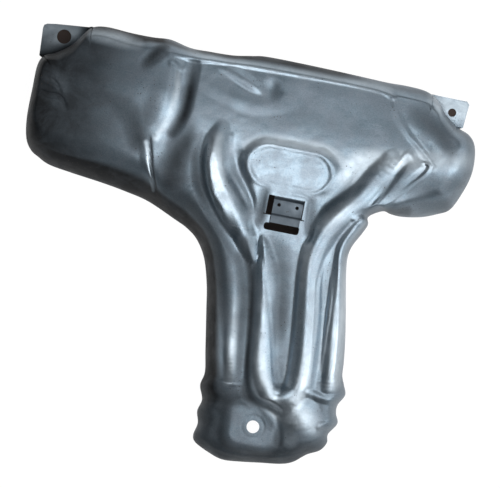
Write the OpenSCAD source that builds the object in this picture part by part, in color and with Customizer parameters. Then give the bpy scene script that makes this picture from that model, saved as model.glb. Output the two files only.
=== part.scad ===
// Exhaust heat shield: a pressing of aluminised steel sheet, with a small bracket welded under it.
// It lies face up on its rim: +Z is the outer face, +Y the top of the T, +X its right arm.
// Every plan point is drawn in millimetres from the middle of the line between the ear holes.

/* [Sheet] */
// Thickness of the sheet
sheet_t = 0.8; // [0.6:0.1:1.2]
// Height of the flat window field above the rim
crown_h = 48; // [42:1:56]
// Height of the large raised tubes over the field beside them
tube_h = 7; // [4:0.5:9]
// Height of the fine stiffening lines
line_h = 1.4; // [0.8:0.1:2]

/* [Plan] */
// Distance between the two ear holes
ear_spacing = 360; // [345:1:380]
// Distance from the line of the ear holes down to the stem hole
stem_reach = 314; // [300:1:330]

/* [Ears] */
// Radius of the bolt hole in the left ear
left_hole_r = 6.5; // [4:0.25:7]
// Radius of the bolt hole in the right ear
right_hole_r = 3.75; // [2.5:0.25:4.25]
// Reach of the left ear past its hole, sideways
left_ear_reach = 20.5; // [16:0.5:26]
// Reach of the right ear past its hole, sideways
right_ear_reach = 14; // [10:0.5:20]

/* [Stem bolt pad] */
// Radius of the bolt hole in the stem pad
stem_hole_r = 5.75; // [4:0.25:7]
// Height of the bolt pad above the rim
bolt_pad_z = 38; // [34:0.5:41]
// Width of the bolt pad
bolt_pad_w = 36; // [32:1:40]
// Length of the bolt pad along the stem
bolt_pad_l = 32; // [30:1:36]

/* [Raised pad] */
// Width of the raised pad
pad_w = 95; // [86:1:100]
// Length of the raised pad along the stem
pad_l = 47; // [42:1:50]
// Height of the raised pad over the panel
pad_lift = 2; // [1:0.5:4]
// Width of the obround floor in the pad
floor_w = 72; // [60:1:76]
// Length of the obround floor along the stem
floor_l = 34; // [28:1:36]
// Depth of the obround floor below the pad
floor_drop = 1.4; // [0.8:0.2:2.4]

/* [Window] */
// Width of the window
window_w = 33; // [31:0.5:36]
// Length of the window along the stem
window_l = 17; // [15:0.5:19]
// Width of the bracket behind the window
bracket_w = 27; // [22:0.5:28]
// Depth of the bracket's plate below the sheet
bracket_drop = 6; // [5:0.5:8]
// Step of the bracket's tip back towards the sheet
bracket_rise = 3; // [1:0.5:4]
// Radius of the two small holes in the bracket
bracket_hole_r = 1.6; // [1:0.1:2.2]
// Distance between the two small holes
bracket_hole_gap = 16.5; // [13:0.5:18]
// Length of the neck between the window and the slot
neck_l = 8; // [6:0.5:10]
// Width of the slot
slot_w = 32; // [30:0.5:36]
// Length of the slot along the stem
slot_l = 6.5; // [5:0.5:8]

/* [Hidden] */
steel = [0.66, 0.69, 0.73];
bracket_steel = [0.42, 0.46, 0.5];

// Plan sizes that the point lists below are drawn for
drawn_spacing = 360;
drawn_reach = 314;
arm_from = [-40, 105];
arm_to = [-110, 160];
stem_from = -145;
stem_to = -270;
arm_growth = (ear_spacing - drawn_spacing) / 2;
stem_growth = stem_reach - drawn_reach;

// Mesh of the pressing: cells along each stretch of the rim, and from the rim to the middle line
far_arm_cells = 6;
near_arm_cells = 16;
dome_cells = 11;
stem_cells = 16;
foot_cells = 12;
left_end_cells = 10;
left_ear_cells = 8;
right_ear_cells = 5;
right_end_cells = 10;
foot_end_cells = 12;
rings = 17;
// Rings crowd towards the rim, where the wall turns down
ring_crowd = 1.6;
curve_steps = 6;

// Rim, clockwise from the lower corner of the left arm: [x, y, width of the turned-down wall]
left_end = [
    [-190, -107, 26], [-196, -97, 18], [-199, -78, 11], [-199, -50, 9], [-198.5, -30, 9]
];
left_ear_foot = [
    [-194, -20.5, 9], [-184, -15.5, 12], [-172, -6.5, 12], [-164, 4, 11]
];
top_far_left = [
    [-156, 13.2, 11], [-143, 16.3, 12], [-120, 15.2, 14]
];
top_left = [
    [-100, 15.2, 14], [-84, 16.2, 14], [-65, 12.2, 10], [-48, 12.2, 10], [-26, 13, 10],
    [-9, 15.8, 12], [5, 17.8, 14]
];
top_right = [
    [40, 17.8, 14], [77, 17, 13], [102, 16.2, 13], [118, 15.8, 14], [135, 16.2, 15],
    [151, 15.2, 15]
];
right_ear_foot = [
    [160, 12, 14], [168, 6, 13], [174, -2, 13]
];
right_end = [
    [186, -11.5, 14], [199, -17, 18], [206, -26, 22], [208.6, -42, 26], [207, -58, 26],
    [200, -78, 26], [194, -88, 24]
];
under_right = [
    [185, -93, 24], [171, -98.6, 22], [154, -101.7, 18], [143, -101.4, 14], [136, -100, 11],
    [127, -104.5, 10]
];
stem_right = [
    [123, -109, 9], [124.4, -115, 9], [120.6, -124, 10], [114, -137, 10], [112, -148, 10],
    [113.6, -163, 9], [117, -181, 9], [120.6, -200, 9], [124.4, -222, 9], [127, -242, 9]
];
foot_right = [
    [128, -254, 9], [131, -262, 10], [134, -271, 11], [129, -281, 10], [129, -289, 10],
    [132, -298, 12], [125.5, -309, 13]
];
foot_end = [
    [126, -317, 16], [121, -325, 18], [110, -331, 18], [99, -340, 18], [88, -344, 16],
    [70, -346.5, 15], [52, -349, 15], [35, -350.3, 15], [21, -346, 16], [8, -339.5, 16]
];
foot_left = [
    [5, -333, 17], [7, -322, 17], [4.4, -311, 17], [6.7, -300, 17], [2.5, -287.5, 18],
    [4.4, -275, 19]
];
stem_left = [
    [1, -255, 20], [-4.7, -222, 20], [-9.4, -196, 21], [-16.4, -173, 22]
];
under_left = [
    [-26, -158, 24], [-37, -149.5, 24], [-50, -143.5, 26], [-76, -132.5, 30]
];
under_far_left = [
    [-98, -127.6, 34], [-120, -124, 36], [-150, -120.3, 36], [-171, -117, 34], [-182, -112, 30]
];

// Middle line that the rings close on: left end, crossing, right end, top of the foot, foot
spine_left = [-150, -54];
spine_mid_left = [-94, -62];
spine_cross = [48, -84];
spine_right = [160, -48];
spine_foot = [64, -258];
spine_end = [66, -298];

// Height along Y, from the window field: [y, height]
bulge_rows = [
    [22, -16], [4, -7], [-12, -1], [-35, 4], [-60, 3.5], [-95, -1], [-130, -8], [-160, -10]
];
panel_rows = [
    [22, -17], [5, -9], [-22, -4.5], [-48, -1], [-70, 0.3], [-102, 0], [-140, 0], [-170, -1.5],
    [-250, -3], [-272, -4.5], [-292, -8.5], [-310, -12], [-330, -15], [-360, -22]
];
dome_rows = [
    [22, -18], [2, -9], [-18, -2], [-36, 2.5], [-52, 4], [-72, 2], [-90, -5], [-120, -16]
];

// Edges between bulge, panel and dome: [y, x]
bulge_edge = [
    [30, -67], [-48, -65], [-64, -69], [-78, -82], [-94, -80], [-126, -70], [-170, -60]
];
dome_edge = [
    [30, 119], [0, 124], [-18, 132], [-30, 143], [-42, 155], [-55, 158], [-70, 154], [-85, 146],
    [-100, 135], [-114, 122], [-130, 114]
];

// Raised tubes: [x, y, half width, share of tube_h]
s_tube = [
    [-20, -55, 8, 0.1], [-24, -68, 13, 0.55], [-23, -84, 16, 0.85], [-17, -100, 16, 0.95],
    [-6, -114, 16, 1], [6, -129, 14, 1], [15, -144, 12, 0.95], [23, -159, 9, 0.85],
    [28, -167, 5, 0.6]
];
left_tube = [
    [-44, -112, 10, 0.1], [-32, -124, 13, 0.45], [-14, -146, 17, 0.85], [3, -172, 19, 1],
    [13, -196, 20, 1], [19, -219, 20, 1], [23, -240, 19, 1], [26, -256, 17, 1],
    [28, -268, 15, 0.75], [29, -279, 13, 0.35], [30, -288, 10, 0.1]
];
loop_tube = [
    [32, -143, 3, 0.2], [36, -156, 8, 0.55], [42, -178, 13, 0.85], [47, -206, 15, 0.95],
    [52, -229, 16, 1], [55, -252, 17, 1], [60, -272, 17, 1], [70, -285, 15, 1], [82, -285, 14, 1],
    [90, -272, 14, 1], [91, -252, 14, 1], [89, -228, 14, 1], [86, -200, 14, 1], [82, -174, 14, 1],
    [81, -152, 14, 1], [87, -128, 15, 1], [99, -109, 15, 0.95], [113, -92, 14, 0.8],
    [124, -72, 13, 0.65], [132, -54, 9, 0.3]
];
right_tube = [
    [156, -56, 8, 0.15], [147, -70, 10, 0.35], [134, -89, 10, 0.5], [120, -110, 10, 0.6],
    [110, -133, 11, 0.7], [109, -155, 12, 0.8], [112, -190, 12, 0.8], [115, -220, 12, 0.8],
    [118, -250, 11, 0.8], [119, -266, 9, 0.5]
];
foot_tube = [
    [80, -282, 14, 0.8], [92, -293, 20, 0.8], [101, -309, 22, 0.65], [100, -326, 20, 0.3]
];
dent_ridge = [
    [-34, 1, 6, 0.05], [-18, -5, 7, 0.18], [-2, -12, 7, 0.24], [6, -16, 5, 0.1]
];
dent_foot = [
    [-56, -15, 10, 0.03], [-28, -22, 11, 0.12], [2, -28, 11, 0.16], [34, -20, 10, 0.06]
];
tubes = [s_tube, left_tube, loop_tube, right_tube, foot_tube, dent_ridge, dent_foot];

// Valleys beside the tubes: [x, y, half width, share of tube_h]
s_valley = [
    [-42, -66, 8, -0.05], [-41, -80, 9, -0.2], [-37, -97, 9, -0.35], [-27, -117, 8, -0.45],
    [-12, -137, 7, -0.35], [4, -155, 6, -0.2], [14, -167, 5, -0.05]
];
left_valley = [
    [40, -262, 8, -0.05], [44, -280, 8, -0.3], [54, -294, 8, -0.5], [68, -300, 8, -0.5],
    [78, -308, 8, -0.5], [80, -322, 7, -0.4]
];
right_valley = [
    [112, -120, 7, -0.1], [100, -136, 8, -0.2], [98, -152, 8, -0.22], [100, -190, 8, -0.22],
    [102, -220, 8, -0.22], [105, -250, 8, -0.15], [107, -266, 7, -0.1]
];
bulge_valley = [
    [-57, -4, 10, -0.25], [-55, -22, 11, -0.5], [-54, -42, 11, -0.45], [-57, -62, 10, -0.2],
    [-60, -78, 9, -0.05]
];
pad_left_valley = [
    [-9, -70, 9, -0.05], [-6, -80, 10, -0.3], [-2, -92, 10, -0.4], [8, -106, 9, -0.35],
    [19, -120, 6, -0.25]
];
pad_right_valley = [
    [99, -62, 9, -0.05], [96, -76, 9, -0.15], [88, -92, 9, -0.2], [77, -106, 8, -0.2],
    [71, -120, 6, -0.1]
];
inner_groove = [
    [145, -49, 5, -0.08], [142, -60, 5, -0.18], [135, -75, 5, -0.2], [126, -92, 5, -0.2],
    [115, -111, 5, -0.12]
];
outer_groove = [
    [166, -54, 5, -0.12], [161, -61, 5, -0.25], [151, -76, 5, -0.2], [138, -94, 5, -0.2],
    [125, -109, 5, -0.12]
];
valleys = [
    s_valley, left_valley, right_valley, bulge_valley, pad_left_valley, pad_right_valley,
    inner_groove, outer_groove
];

// Fine lines: [x, y, half width, share of line_h]
top_line = [
    [-82, 2, 3.5, 0.6], [-59, 2, 3.5, 1], [-37, 4, 3.5, 1], [-4, 5.5, 3.5, 1], [35, 6.5, 3.5, 1],
    [63, 7, 3.5, 1], [91, 7, 3.5, 1], [112, 6, 3.5, 1], [124, 2, 3.5, 0.8]
];
dome_line = [
    [124, 0, 4, 0.4], [132, -16, 4, 0.8], [143, -28, 4, 0.8], [156, -39, 4, 0.8],
    [171, -54, 4, 0.4]
];
s_line = [
    [-13, -60, 3, 0.4], [-11, -75, 3.5, 0.9], [-4, -91, 3.5, 0.9], [8, -107, 3.5, 0.9],
    [18, -122, 3.5, 0.5]
];
pinch_line = [
    [-84, -78, 4, 0.4], [-84, -92, 4, 1.6], [-80, -106, 4, 1.6], [-74, -122, 4, 1.2]
];
foot_bead = [
    [102, -275, 5, 1], [118, -277, 5, 1.6], [133, -272, 5, 1.6]
];
foot_bump = [
    [116, -302, 5, 0.8], [131, -298, 5, 1.4]
];
lines = [
    top_line, dome_line, s_line, pinch_line, foot_bead, foot_bump
];

// Sunken strip between the legs of the looped tube: [y, left edge, right edge]
strip_rows = [
    [-140, 30, 70], [-158, 35, 68], [-172, 41, 68], [-189, 46, 70], [-208, 52, 72],
    [-228, 58, 74], [-244, 62, 75], [-261, 66, 76], [-274, 70, 75]
];
strip_drop = 2;
strip_slope = 4;
strip_top = [-144, -190];
strip_foot = [-279, -270];

// Raised pad and its obround floor
pad_at = [45, -78];
pad_corner = 25;
pad_slope = 9;
floor_at = [45.5, -80];
floor_slope = 3;

// Field round the window, flat so that the cut edges lie in one plane
window_at = [47.3, -105.5];
window_margin = 7;
field_blend = 7;

// Bolt pad on the stem
stem_hole_x = 56.7;
bolt_pad_at = [stem_hole_x - 1.7, -drawn_reach];
stem_hole = [stem_hole_x, -stem_reach];
bolt_pad_corner = 8;
bolt_pad_blend = 12;

// Sag of the stem's sides below its middle
stem_sag = 5;
stem_half_w = 62;
sag_from = -110;
sag_to = -170;

// Dent in the middle panel
dent_at = [17, -14];
dent_size = [15, 9];
dent_drop = 1.8;

// Overshoot of each cut, and the facets of a round hole
cut_over = 2;
hole_fn = 64;

// Roundness of the ridges, and how closely two tubes that meet keep to the higher one
round_power = 1.5;
meet = 3;
tube_n = len(tubes);

function clamp01(t) = min(1, max(0, t));
function mix(a, b, t) = a + (b - a) * t;
function ramp(a, b, t) = let (u = clamp01((t - a) / (b - a))) u * u * (3 - 2 * u);
function dome(u) = pow(max(0, 1 - u * u), round_power);

// Smooth curve through rows of [position, value], with the position falling
function slope(rows, i) =
    let (a = rows[max(0, i - 1)], b = rows[min(len(rows) - 1, i + 1)])
    (b[1] - a[1]) / (b[0] - a[0]);
function row_below(rows, t, i = 0) =
    i >= len(rows) - 2 || t >= rows[i + 1][0] ? i : row_below(rows, t, i + 1);
function flow(rows, t) =
    let (
        i = row_below(rows, t),
        a = rows[i],
        b = rows[i + 1],
        span = b[0] - a[0],
        u = clamp01((t - a[0]) / span),
        u2 = u * u,
        u3 = u2 * u
    )
    a[1] * (2 * u3 - 3 * u2 + 1) + b[1] * (3 * u2 - 2 * u3)
    + span * (slope(rows, i) * (u3 - 2 * u2 + u) + slope(rows, i + 1) * (u3 - u2));

// Distance from a rounded rectangle's edge, negative inside
function box_gap(p, centre, half, r) =
    let (
        qx = abs(p.x - centre.x) - half.x + r,
        qy = abs(p.y - centre.y) - half.y + r
    )
    norm([max(qx, 0), max(qy, 0)]) + min(max(qx, qy), 0) - r;

// Height of a rounded ridge or valley along a path of [x, y, half width, height]
function segment_height(p, a, b) =
    let (
        run = [b.x - a.x, b.y - a.y],
        to = [p.x - a.x, p.y - a.y],
        u = clamp01(to * run / (run * run)),
        away = norm([to.x - run.x * u, to.y - run.y * u])
    )
    mix(a[3], b[3], u) * dome(away / mix(a[2], b[2], u));
function path_box(path) =
    let (reach = max([for (q = path) q[2]]))
    [
        min([for (q = path) q.x]) - reach, max([for (q = path) q.x]) + reach,
        min([for (q = path) q.y]) - reach, max([for (q = path) q.y]) + reach
    ];
function near(p, box) = p.x > box[0] && p.x < box[1] && p.y > box[2] && p.y < box[3];
function path_height(p, path, box) =
    near(p, box)
        ? let (v = [for (j = [0:len(path) - 2]) segment_height(p, path[j], path[j + 1])])
            (path[0][3] > 0 ? max(v) : min(v))
        : 0;

// Smooth path through its points
function bend(a, b, c, d, u) =
    ((b * 2) + (c - a) * u + (a * 2 - b * 5 + c * 4 - d) * u * u
        + (b * 3 - a - c * 3 + d) * u * u * u) / 2;
function bent(path, steps) =
    let (n = len(path))
    concat(
        [
            for (i = [0:n - 2], j = [0:steps - 1])
                bend(path[max(0, i - 1)], path[i], path[i + 1], path[min(n - 1, i + 2)], j / steps)
        ],
        [path[n - 1]]
    );
path_steps = 3;
tube_paths = [for (q = concat(tubes, valleys)) bent(q, path_steps)];
tube_boxes = [for (q = tube_paths) path_box(q)];
line_paths = [for (q = lines) bent(q, path_steps)];
line_boxes = [for (q = line_paths) path_box(q)];

function add(v, i = 0) = i < len(v) ? v[i] + add(v, i + 1) : 0;
function tube_share(p) =
    pow(
        add([for (i = [0:tube_n - 1]) pow(path_height(p, tube_paths[i], tube_boxes[i]), meet)]),
        1 / meet
    )
    + add([for (i = [tube_n:len(tube_paths) - 1]) path_height(p, tube_paths[i], tube_boxes[i])]);
function line_sum(p) =
    add([for (i = [0:len(line_paths) - 1]) path_height(p, line_paths[i], line_boxes[i])]);

// Broad form: bulge, panel and dome, joined across their edges, and the sagging stem
bulge_join = 10;
dome_join = 30;
function stem_x(y) =
    mix(spine_cross.x, spine_end.x, (y - spine_cross.y) / (spine_end.y - spine_cross.y));
function broad(p) =
    let (
        left = flow(bulge_rows, p.y),
        middle = flow(panel_rows, p.y),
        right = flow(dome_rows, p.y),
        bulge_x = flow(bulge_edge, p.y),
        dome_x = flow(dome_edge, p.y),
        in_stem = ramp(sag_from, sag_to, p.y),
        off = (p.x - stem_x(p.y)) / stem_half_w
    )
    mix(
        mix(left, middle, ramp(bulge_x - bulge_join, bulge_x + bulge_join, p.x)),
        right,
        ramp(dome_x, dome_x + dome_join, p.x)
    ) - in_stem * stem_sag * off * off;

// Raised pad with its obround floor
function pad_height(p) =
    let (
        half = [pad_w, pad_l] / 2 - [pad_slope, pad_slope],
        outer_gap = box_gap(p, pad_at, half, pad_corner - pad_slope),
        floor_gap = box_gap(p, floor_at, [floor_w, floor_l] / 2, floor_l / 2)
    )
    pad_lift * ramp(pad_slope, 0, outer_gap)
    - floor_drop * ramp(floor_slope / 2, -floor_slope / 2, floor_gap);

function strip_height(p) =
    let (
        left = lookup(p.y, [for (r = strip_rows) [r[0], r[1]]]),
        right = lookup(p.y, [for (r = strip_rows) [r[0], r[2]]]),
        in_x = ramp(left - strip_slope, left, p.x) * ramp(right + strip_slope, right, p.x),
        in_y = ramp(strip_top[0], strip_top[1], p.y) * ramp(strip_foot[0], strip_foot[1], p.y)
    )
    -strip_drop * in_x * in_y;

function dent_height(p) =
    -dent_drop * dome(norm([(p.x - dent_at.x) / dent_size.x, (p.y - dent_at.y) / dent_size.y]));

// Window field and bolt pad flatten what lies round them
window_reach = window_l + neck_l + slot_l;
function in_window_field(p) =
    ramp(
        field_blend, 0,
        box_gap(
            p, [window_at.x, window_at.y - window_reach / 2],
            [window_w / 2 + window_margin, window_reach / 2 + window_margin / 2], window_margin
        )
    );
function in_bolt_pad(p) =
    ramp(bolt_pad_blend, 0, box_gap(p, bolt_pad_at, [bolt_pad_w, bolt_pad_l] / 2, bolt_pad_corner));

// Outer face above the rim plane, before the wall turns it down
function face_height(p) =
    let (
        free = broad(p) + tube_h * tube_share(p) + line_h * line_sum(p) + pad_height(p)
            + strip_height(p) + dent_height(p),
        with_field = mix(free, 0, in_window_field(p))
    )
    mix(crown_h + with_field, bolt_pad_z, in_bolt_pad(p));

// Wall: a quarter ellipse that stands upright at the rim
function wall_share(gap, wall_w) = let (u = clamp01(gap / wall_w)) sqrt(1 - (1 - u) * (1 - u));

// The arms and the stem stretch outside the pads, which keep their size
function stretched(p) =
    [
        p.x + arm_growth * (ramp(arm_from[1], arm_to[1], p.x) - ramp(arm_from[0], arm_to[0], p.x)),
        p.y - stem_growth * ramp(stem_from, stem_to, p.y)
    ];

// Rim as a closed smooth curve, measured along its length
rim_rows = concat(
    left_end, left_ear_foot, top_far_left, top_left, top_right, right_ear_foot, right_end,
    under_right, stem_right, foot_right, foot_end, foot_left, stem_left, under_left,
    under_far_left
);
rim_count = len(rim_rows);
rim_curve = [
    for (i = [0:rim_count - 1], j = [0:curve_steps - 1])
        bend(
            rim_rows[(i + rim_count - 1) % rim_count], rim_rows[i], rim_rows[(i + 1) % rim_count],
            rim_rows[(i + 2) % rim_count], j / curve_steps
        )
];
curve_count = len(rim_curve);
rim_lengths = [
    for (
        i = 0, s = 0; i <= curve_count;
        s = s + norm([
            rim_curve[(i + 1) % curve_count].x - rim_curve[i % curve_count].x,
            rim_curve[(i + 1) % curve_count].y - rim_curve[i % curve_count].y
        ]),
        i = i + 1
    ) s
];
rim_x = [for (i = [0:curve_count]) [rim_lengths[i], rim_curve[i % curve_count].x]];
rim_y = [for (i = [0:curve_count]) [rim_lengths[i], rim_curve[i % curve_count].y]];
rim_w = [for (i = [0:curve_count]) [rim_lengths[i], rim_curve[i % curve_count][2]]];

// A stretch of the rim from one row to another, in equal steps
function stretch(first, last, cells) =
    let (s0 = rim_lengths[first * curve_steps], s1 = rim_lengths[last * curve_steps])
    [
        for (j = [0:cells - 1])
            let (s = mix(s0, s1, j / cells)) [lookup(s, rim_x), lookup(s, rim_y), lookup(s, rim_w)]
    ];
at_left_ear = len(left_end);
at_far_top = at_left_ear + len(left_ear_foot);
at_top = at_far_top + len(top_far_left);
at_cross = at_top + len(top_left);
at_right_ear = at_cross + len(top_right);
at_right = at_right_ear + len(right_ear_foot);
at_under = at_right + len(right_end);
at_stem = at_under + len(under_right);
at_foot = at_stem + len(stem_right);
at_end = at_foot + len(foot_right);
at_back = at_end + len(foot_end);
at_rise = at_back + len(foot_left);
at_armpit = at_rise + len(stem_left);
at_far_under = at_armpit + len(under_left);
rim = concat(
    stretch(0, at_left_ear, left_end_cells),
    stretch(at_left_ear, at_far_top, left_ear_cells),
    stretch(at_far_top, at_top, far_arm_cells),
    stretch(at_top, at_cross, near_arm_cells),
    stretch(at_cross, at_right_ear, dome_cells),
    stretch(at_right_ear, at_right, right_ear_cells),
    stretch(at_right, at_under, right_end_cells),
    stretch(at_under, at_stem, dome_cells),
    stretch(at_stem, at_foot, stem_cells),
    stretch(at_foot, at_end, foot_cells),
    stretch(at_end, at_back, foot_end_cells),
    stretch(at_back, at_rise, foot_cells),
    stretch(at_rise, at_armpit, stem_cells),
    stretch(at_armpit, at_far_under, near_arm_cells),
    stretch(at_far_under, rim_count, far_arm_cells)
);
rim_n = len(rim);

// Middle line: its points, and which of them each rim point runs to
function line_points(a, b, cells) = [for (j = [0:cells - 1]) mix(a, b, j / cells)];
leg_cells = stem_cells + foot_cells;
arm_cells = far_arm_cells + near_arm_cells;
spine = concat(
    line_points(spine_left, spine_mid_left, far_arm_cells),
    line_points(spine_mid_left, spine_cross, near_arm_cells),
    line_points(spine_cross, spine_right, dome_cells),
    [spine_right],
    [for (j = [1:stem_cells]) mix(spine_cross, spine_foot, j / stem_cells)],
    [for (j = [1:foot_cells]) mix(spine_foot, spine_end, j / foot_cells)]
);
spine_n = len(spine);
cross_id = arm_cells;
right_id = arm_cells + dome_cells;
end_id = right_id + leg_cells;
rim_to_spine = concat(
    [for (j = [1:left_end_cells + left_ear_cells]) 0],
    [for (j = [0:arm_cells - 1]) j],
    [for (j = [0:dome_cells - 1]) cross_id + j],
    [for (j = [1:right_ear_cells + right_end_cells]) right_id],
    [for (j = [0:dome_cells - 1]) right_id - j],
    [for (j = [0:leg_cells - 1]) j == 0 ? cross_id : right_id + j],
    [for (j = [1:foot_end_cells]) end_id],
    [for (j = [0:leg_cells - 1]) end_id - j],
    [for (j = [0:arm_cells - 1]) cross_id - j]
);

// Ears: the free edge of each, from the hole's middle, point for point with the wall's foot
left_hole = [-ear_spacing / 2, 0];
right_hole = [ear_spacing / 2, 0];
left_ear_edge = [
    [1.5 - left_ear_reach, -20.8], [0.8 - left_ear_reach, -8], [-left_ear_reach, 4.5],
    [0.7 - left_ear_reach, 7.4], [3.2 - left_ear_reach, 8.9], [-9, 10.2], [1, 11.2], [12, 12.2],
    [22.5, 13.2]
];
right_ear_edge = [
    [-19, 13], [-4, 12.9], [right_ear_reach - 2.5, 12.8], [right_ear_reach, 10.3],
    [right_ear_reach - 0.8, 0], [right_ear_reach - 1.7, -11.5]
];
ear_rings = 3;
left_ear_first = left_end_cells;
right_ear_first = left_end_cells + left_ear_cells + arm_cells + dome_cells;
function ear_edge(i) =
    i >= left_ear_first && i <= left_ear_first + left_ear_cells
        ? left_hole + left_ear_edge[i - left_ear_first]
    : i >= right_ear_first && i <= right_ear_first + right_ear_cells
        ? right_hole + right_ear_edge[i - right_ear_first]
    : undef;

// Point of the outer face on a line from rim point i to the middle line, at ring k
function ring_point(i, k) =
    let (edge = ear_edge(i), foot = [rim[i].x, rim[i].y])
    is_undef(edge) ? wall_point(i, pow(k / rings, ring_crowd), 0)
    : k < ear_rings ? let (q = mix(edge, stretched(foot), k / ear_rings)) [q.x, q.y, sheet_t]
    : wall_point(i, pow((k - ear_rings) / (rings - ear_rings), ring_crowd), sheet_t);
function wall_point(i, share, foot_z) =
    let (
        a = [rim[i].x, rim[i].y],
        b = spine[rim_to_spine[i]],
        p = mix(a, b, share),
        q = stretched(p)
    )
    [q.x, q.y, mix(foot_z, face_height(p), wall_share(share * norm(b - a), rim[i][2]))];
function spine_point(j) =
    let (p = spine[j], q = stretched(p)) [q.x, q.y, face_height(p)];
outer_rings = [for (i = [0:rim_n - 1]) [for (k = [0:rings - 1]) ring_point(i, k)]];
outer_spine = [for (j = [0:spine_n - 1]) spine_point(j)];

function unit(v) = v / norm(v);
function outer_at(i, k) =
    k == rings ? outer_spine[rim_to_spine[i]] : outer_rings[i][k];
function ring_normal(i, k) =
    let (
        along = outer_rings[(i + 1) % rim_n][k] - outer_rings[(i + rim_n - 1) % rim_n][k],
        inward = outer_at(i, k + 1) - outer_at(i, max(0, k - 1))
    )
    unit(cross(inward, along));
// Reach of the two measuring points that give the slope on the middle line
probe = 1.5;
function spine_normal(j) =
    let (
        p = spine[j],
        rise_x = face_height(p + [probe, 0]) - face_height(p - [probe, 0]),
        rise_y = face_height(p + [0, probe]) - face_height(p - [0, probe])
    )
    unit([-rise_x, -rise_y, 2 * probe]);
function above_rim(p) = [p.x, p.y, max(0, p.z)];
inner_rings = [
    for (i = [0:rim_n - 1])
        [for (k = [0:rings - 1]) above_rim(outer_rings[i][k] - sheet_t * ring_normal(i, k))]
];
inner_spine = [for (j = [0:spine_n - 1]) outer_spine[j] - sheet_t * spine_normal(j)];

// Point numbers and faces of the closed sheet
side_n = rim_n * rings + spine_n;
function point_id(i, k) =
    k == rings ? rim_n * rings + rim_to_spine[i % rim_n] : (i % rim_n) * rings + k;
function face_cell(i, k) =
    let (
        a = point_id(i, k),
        b = point_id(i + 1, k),
        c = point_id(i + 1, k + 1),
        d = point_id(i, k + 1),
        fall_ac = abs(outer_at(i, k).z - outer_at((i + 1) % rim_n, k + 1).z),
        fall_bd = abs(outer_at((i + 1) % rim_n, k).z - outer_at(i, k + 1).z)
    )
    c == d ? [[a, b, c]]
    : fall_ac < fall_bd ? [[a, b, c], [a, c, d]]
    : [[a, b, d], [b, c, d]];
outer_faces = [for (i = [0:rim_n - 1], k = [0:rings - 1], f = face_cell(i, k)) [f[2], f[1], f[0]]];
inner_faces = [for (f = outer_faces) [f[2] + side_n, f[1] + side_n, f[0] + side_n]];
edge_faces = [
    for (i = [0:rim_n - 1])
        let (a = point_id(i, 0), b = point_id(i + 1, 0))
        each [[a, b, b + side_n], [a, b + side_n, a + side_n]]
];

module pressing() {
    polyhedron(
        points = concat(
            [for (row = outer_rings) each row], outer_spine,
            [for (row = inner_rings) each row], inner_spine
        ),
        faces = concat(outer_faces, inner_faces, edge_faces)
    );
}

// Quarter turn of a rounded corner, clockwise from an angle
corner_steps = 4;
function corner(centre, r, from) =
    [for (j = [0:corner_steps]) let (w = from - 90 * j / corner_steps) centre + r * [cos(w), sin(w)]];

// Bracket behind the window: a bent strip, welded by its flange under the window's top edge.
// Its side is a bent middle line of [y, z], from the flange down to the plate and its tip.
flange_l = 4;
weld_gap = 0.1;
root_bend = 0.8;
leg_bend = 2.8;
step_run = 1.6;
tip_gap = 0.6;
hole_from_edge = 7.5;
module window_bracket() {
    half = sheet_t / 2;
    z_flange = crown_h - sheet_t - weld_gap - half;
    z_plate = crown_h - half - bracket_drop;
    y_step = -window_l;
    line = [
        [flange_l, z_flange], [-root_bend, z_flange], [-leg_bend, z_plate],
        [y_step + step_run / 2, z_plate], [y_step - step_run / 2, z_plate + bracket_rise],
        [y_step - neck_l + tip_gap, z_plate + bracket_rise]
    ];
    last = len(line) - 1;
    color(bracket_steel)
    translate([bracket_x - middle.x, window_at.y - middle.y, 0])
    difference() {
        translate([-bracket_w / 2, 0, 0])
        rotate([90, 0, 90])
        linear_extrude(bracket_w)
        polygon(concat(
            [for (i = [0:last]) side_point(line, i, half)],
            [for (i = [last:-1:0]) side_point(line, i, -half)]
        ));
        for (side = [-1, 1])
        translate([side * bracket_hole_gap / 2, -hole_from_edge, z_plate - half - cut_over])
        cylinder(h = sheet_t + 2 * cut_over, r = bracket_hole_r, $fn = hole_fn);
    }
}

// A point beside a bent strip's middle line, at an even distance from both its runs
function side_point(line, i, away) =
    let (
        last = len(line) - 1,
        before = unit(line[max(1, i)] - line[max(1, i) - 1]),
        after = unit(line[min(last, i + 1)] - line[min(last, i + 1) - 1]),
        mean = unit(before + after)
    )
    line[i] + away / (mean * before) * [-mean.y, mean.x];

// One opening: window, side slits, neck and slot, drawn from the middle of its top edge
side_gap = 0.7;
bracket_x = window_at.x + (window_w - bracket_w) / 2 - side_gap;
slit_reach = 2.2;
slit_l = 1;
slot_corner = 2.5;
module opening() {
    right = window_w / 2;
    neck_left = bracket_x - window_at.x - bracket_w / 2 - side_gap;
    y_slit = -window_l;
    y_slot = y_slit - neck_l;
    y_end = y_slot - slot_l;
    slot_x = slot_w / 2;
    translate([window_at.x, window_at.y, crown_h - sheet_t - cut_over])
    linear_extrude(sheet_t + 2 * cut_over)
    polygon(concat(
        [[-right, 0], [right, 0], [right, y_slit], [right + slit_reach, y_slit]],
        [[right + slit_reach, y_slit - slit_l], [slot_x - side_gap, y_slit - slit_l]],
        [[slot_x - side_gap, y_slot], [slot_x, y_slot]],
        corner([slot_x - slot_corner, y_end + slot_corner], slot_corner, 0),
        corner([slot_corner - slot_x, y_end + slot_corner], slot_corner, -90),
        corner([slot_corner - slot_x, y_slot - slot_corner], slot_corner, 180),
        [[neck_left, y_slot], [neck_left, y_slit - slit_l]],
        [[-right - slit_reach, y_slit - slit_l], [-right - slit_reach, y_slit], [-right, y_slit]]
    ));
}
module bolt_hole(at, r, z) {
    translate([at.x, at.y, z - sheet_t - cut_over])
    cylinder(h = sheet_t + 2 * cut_over, r = r, $fn = hole_fn);
}

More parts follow.
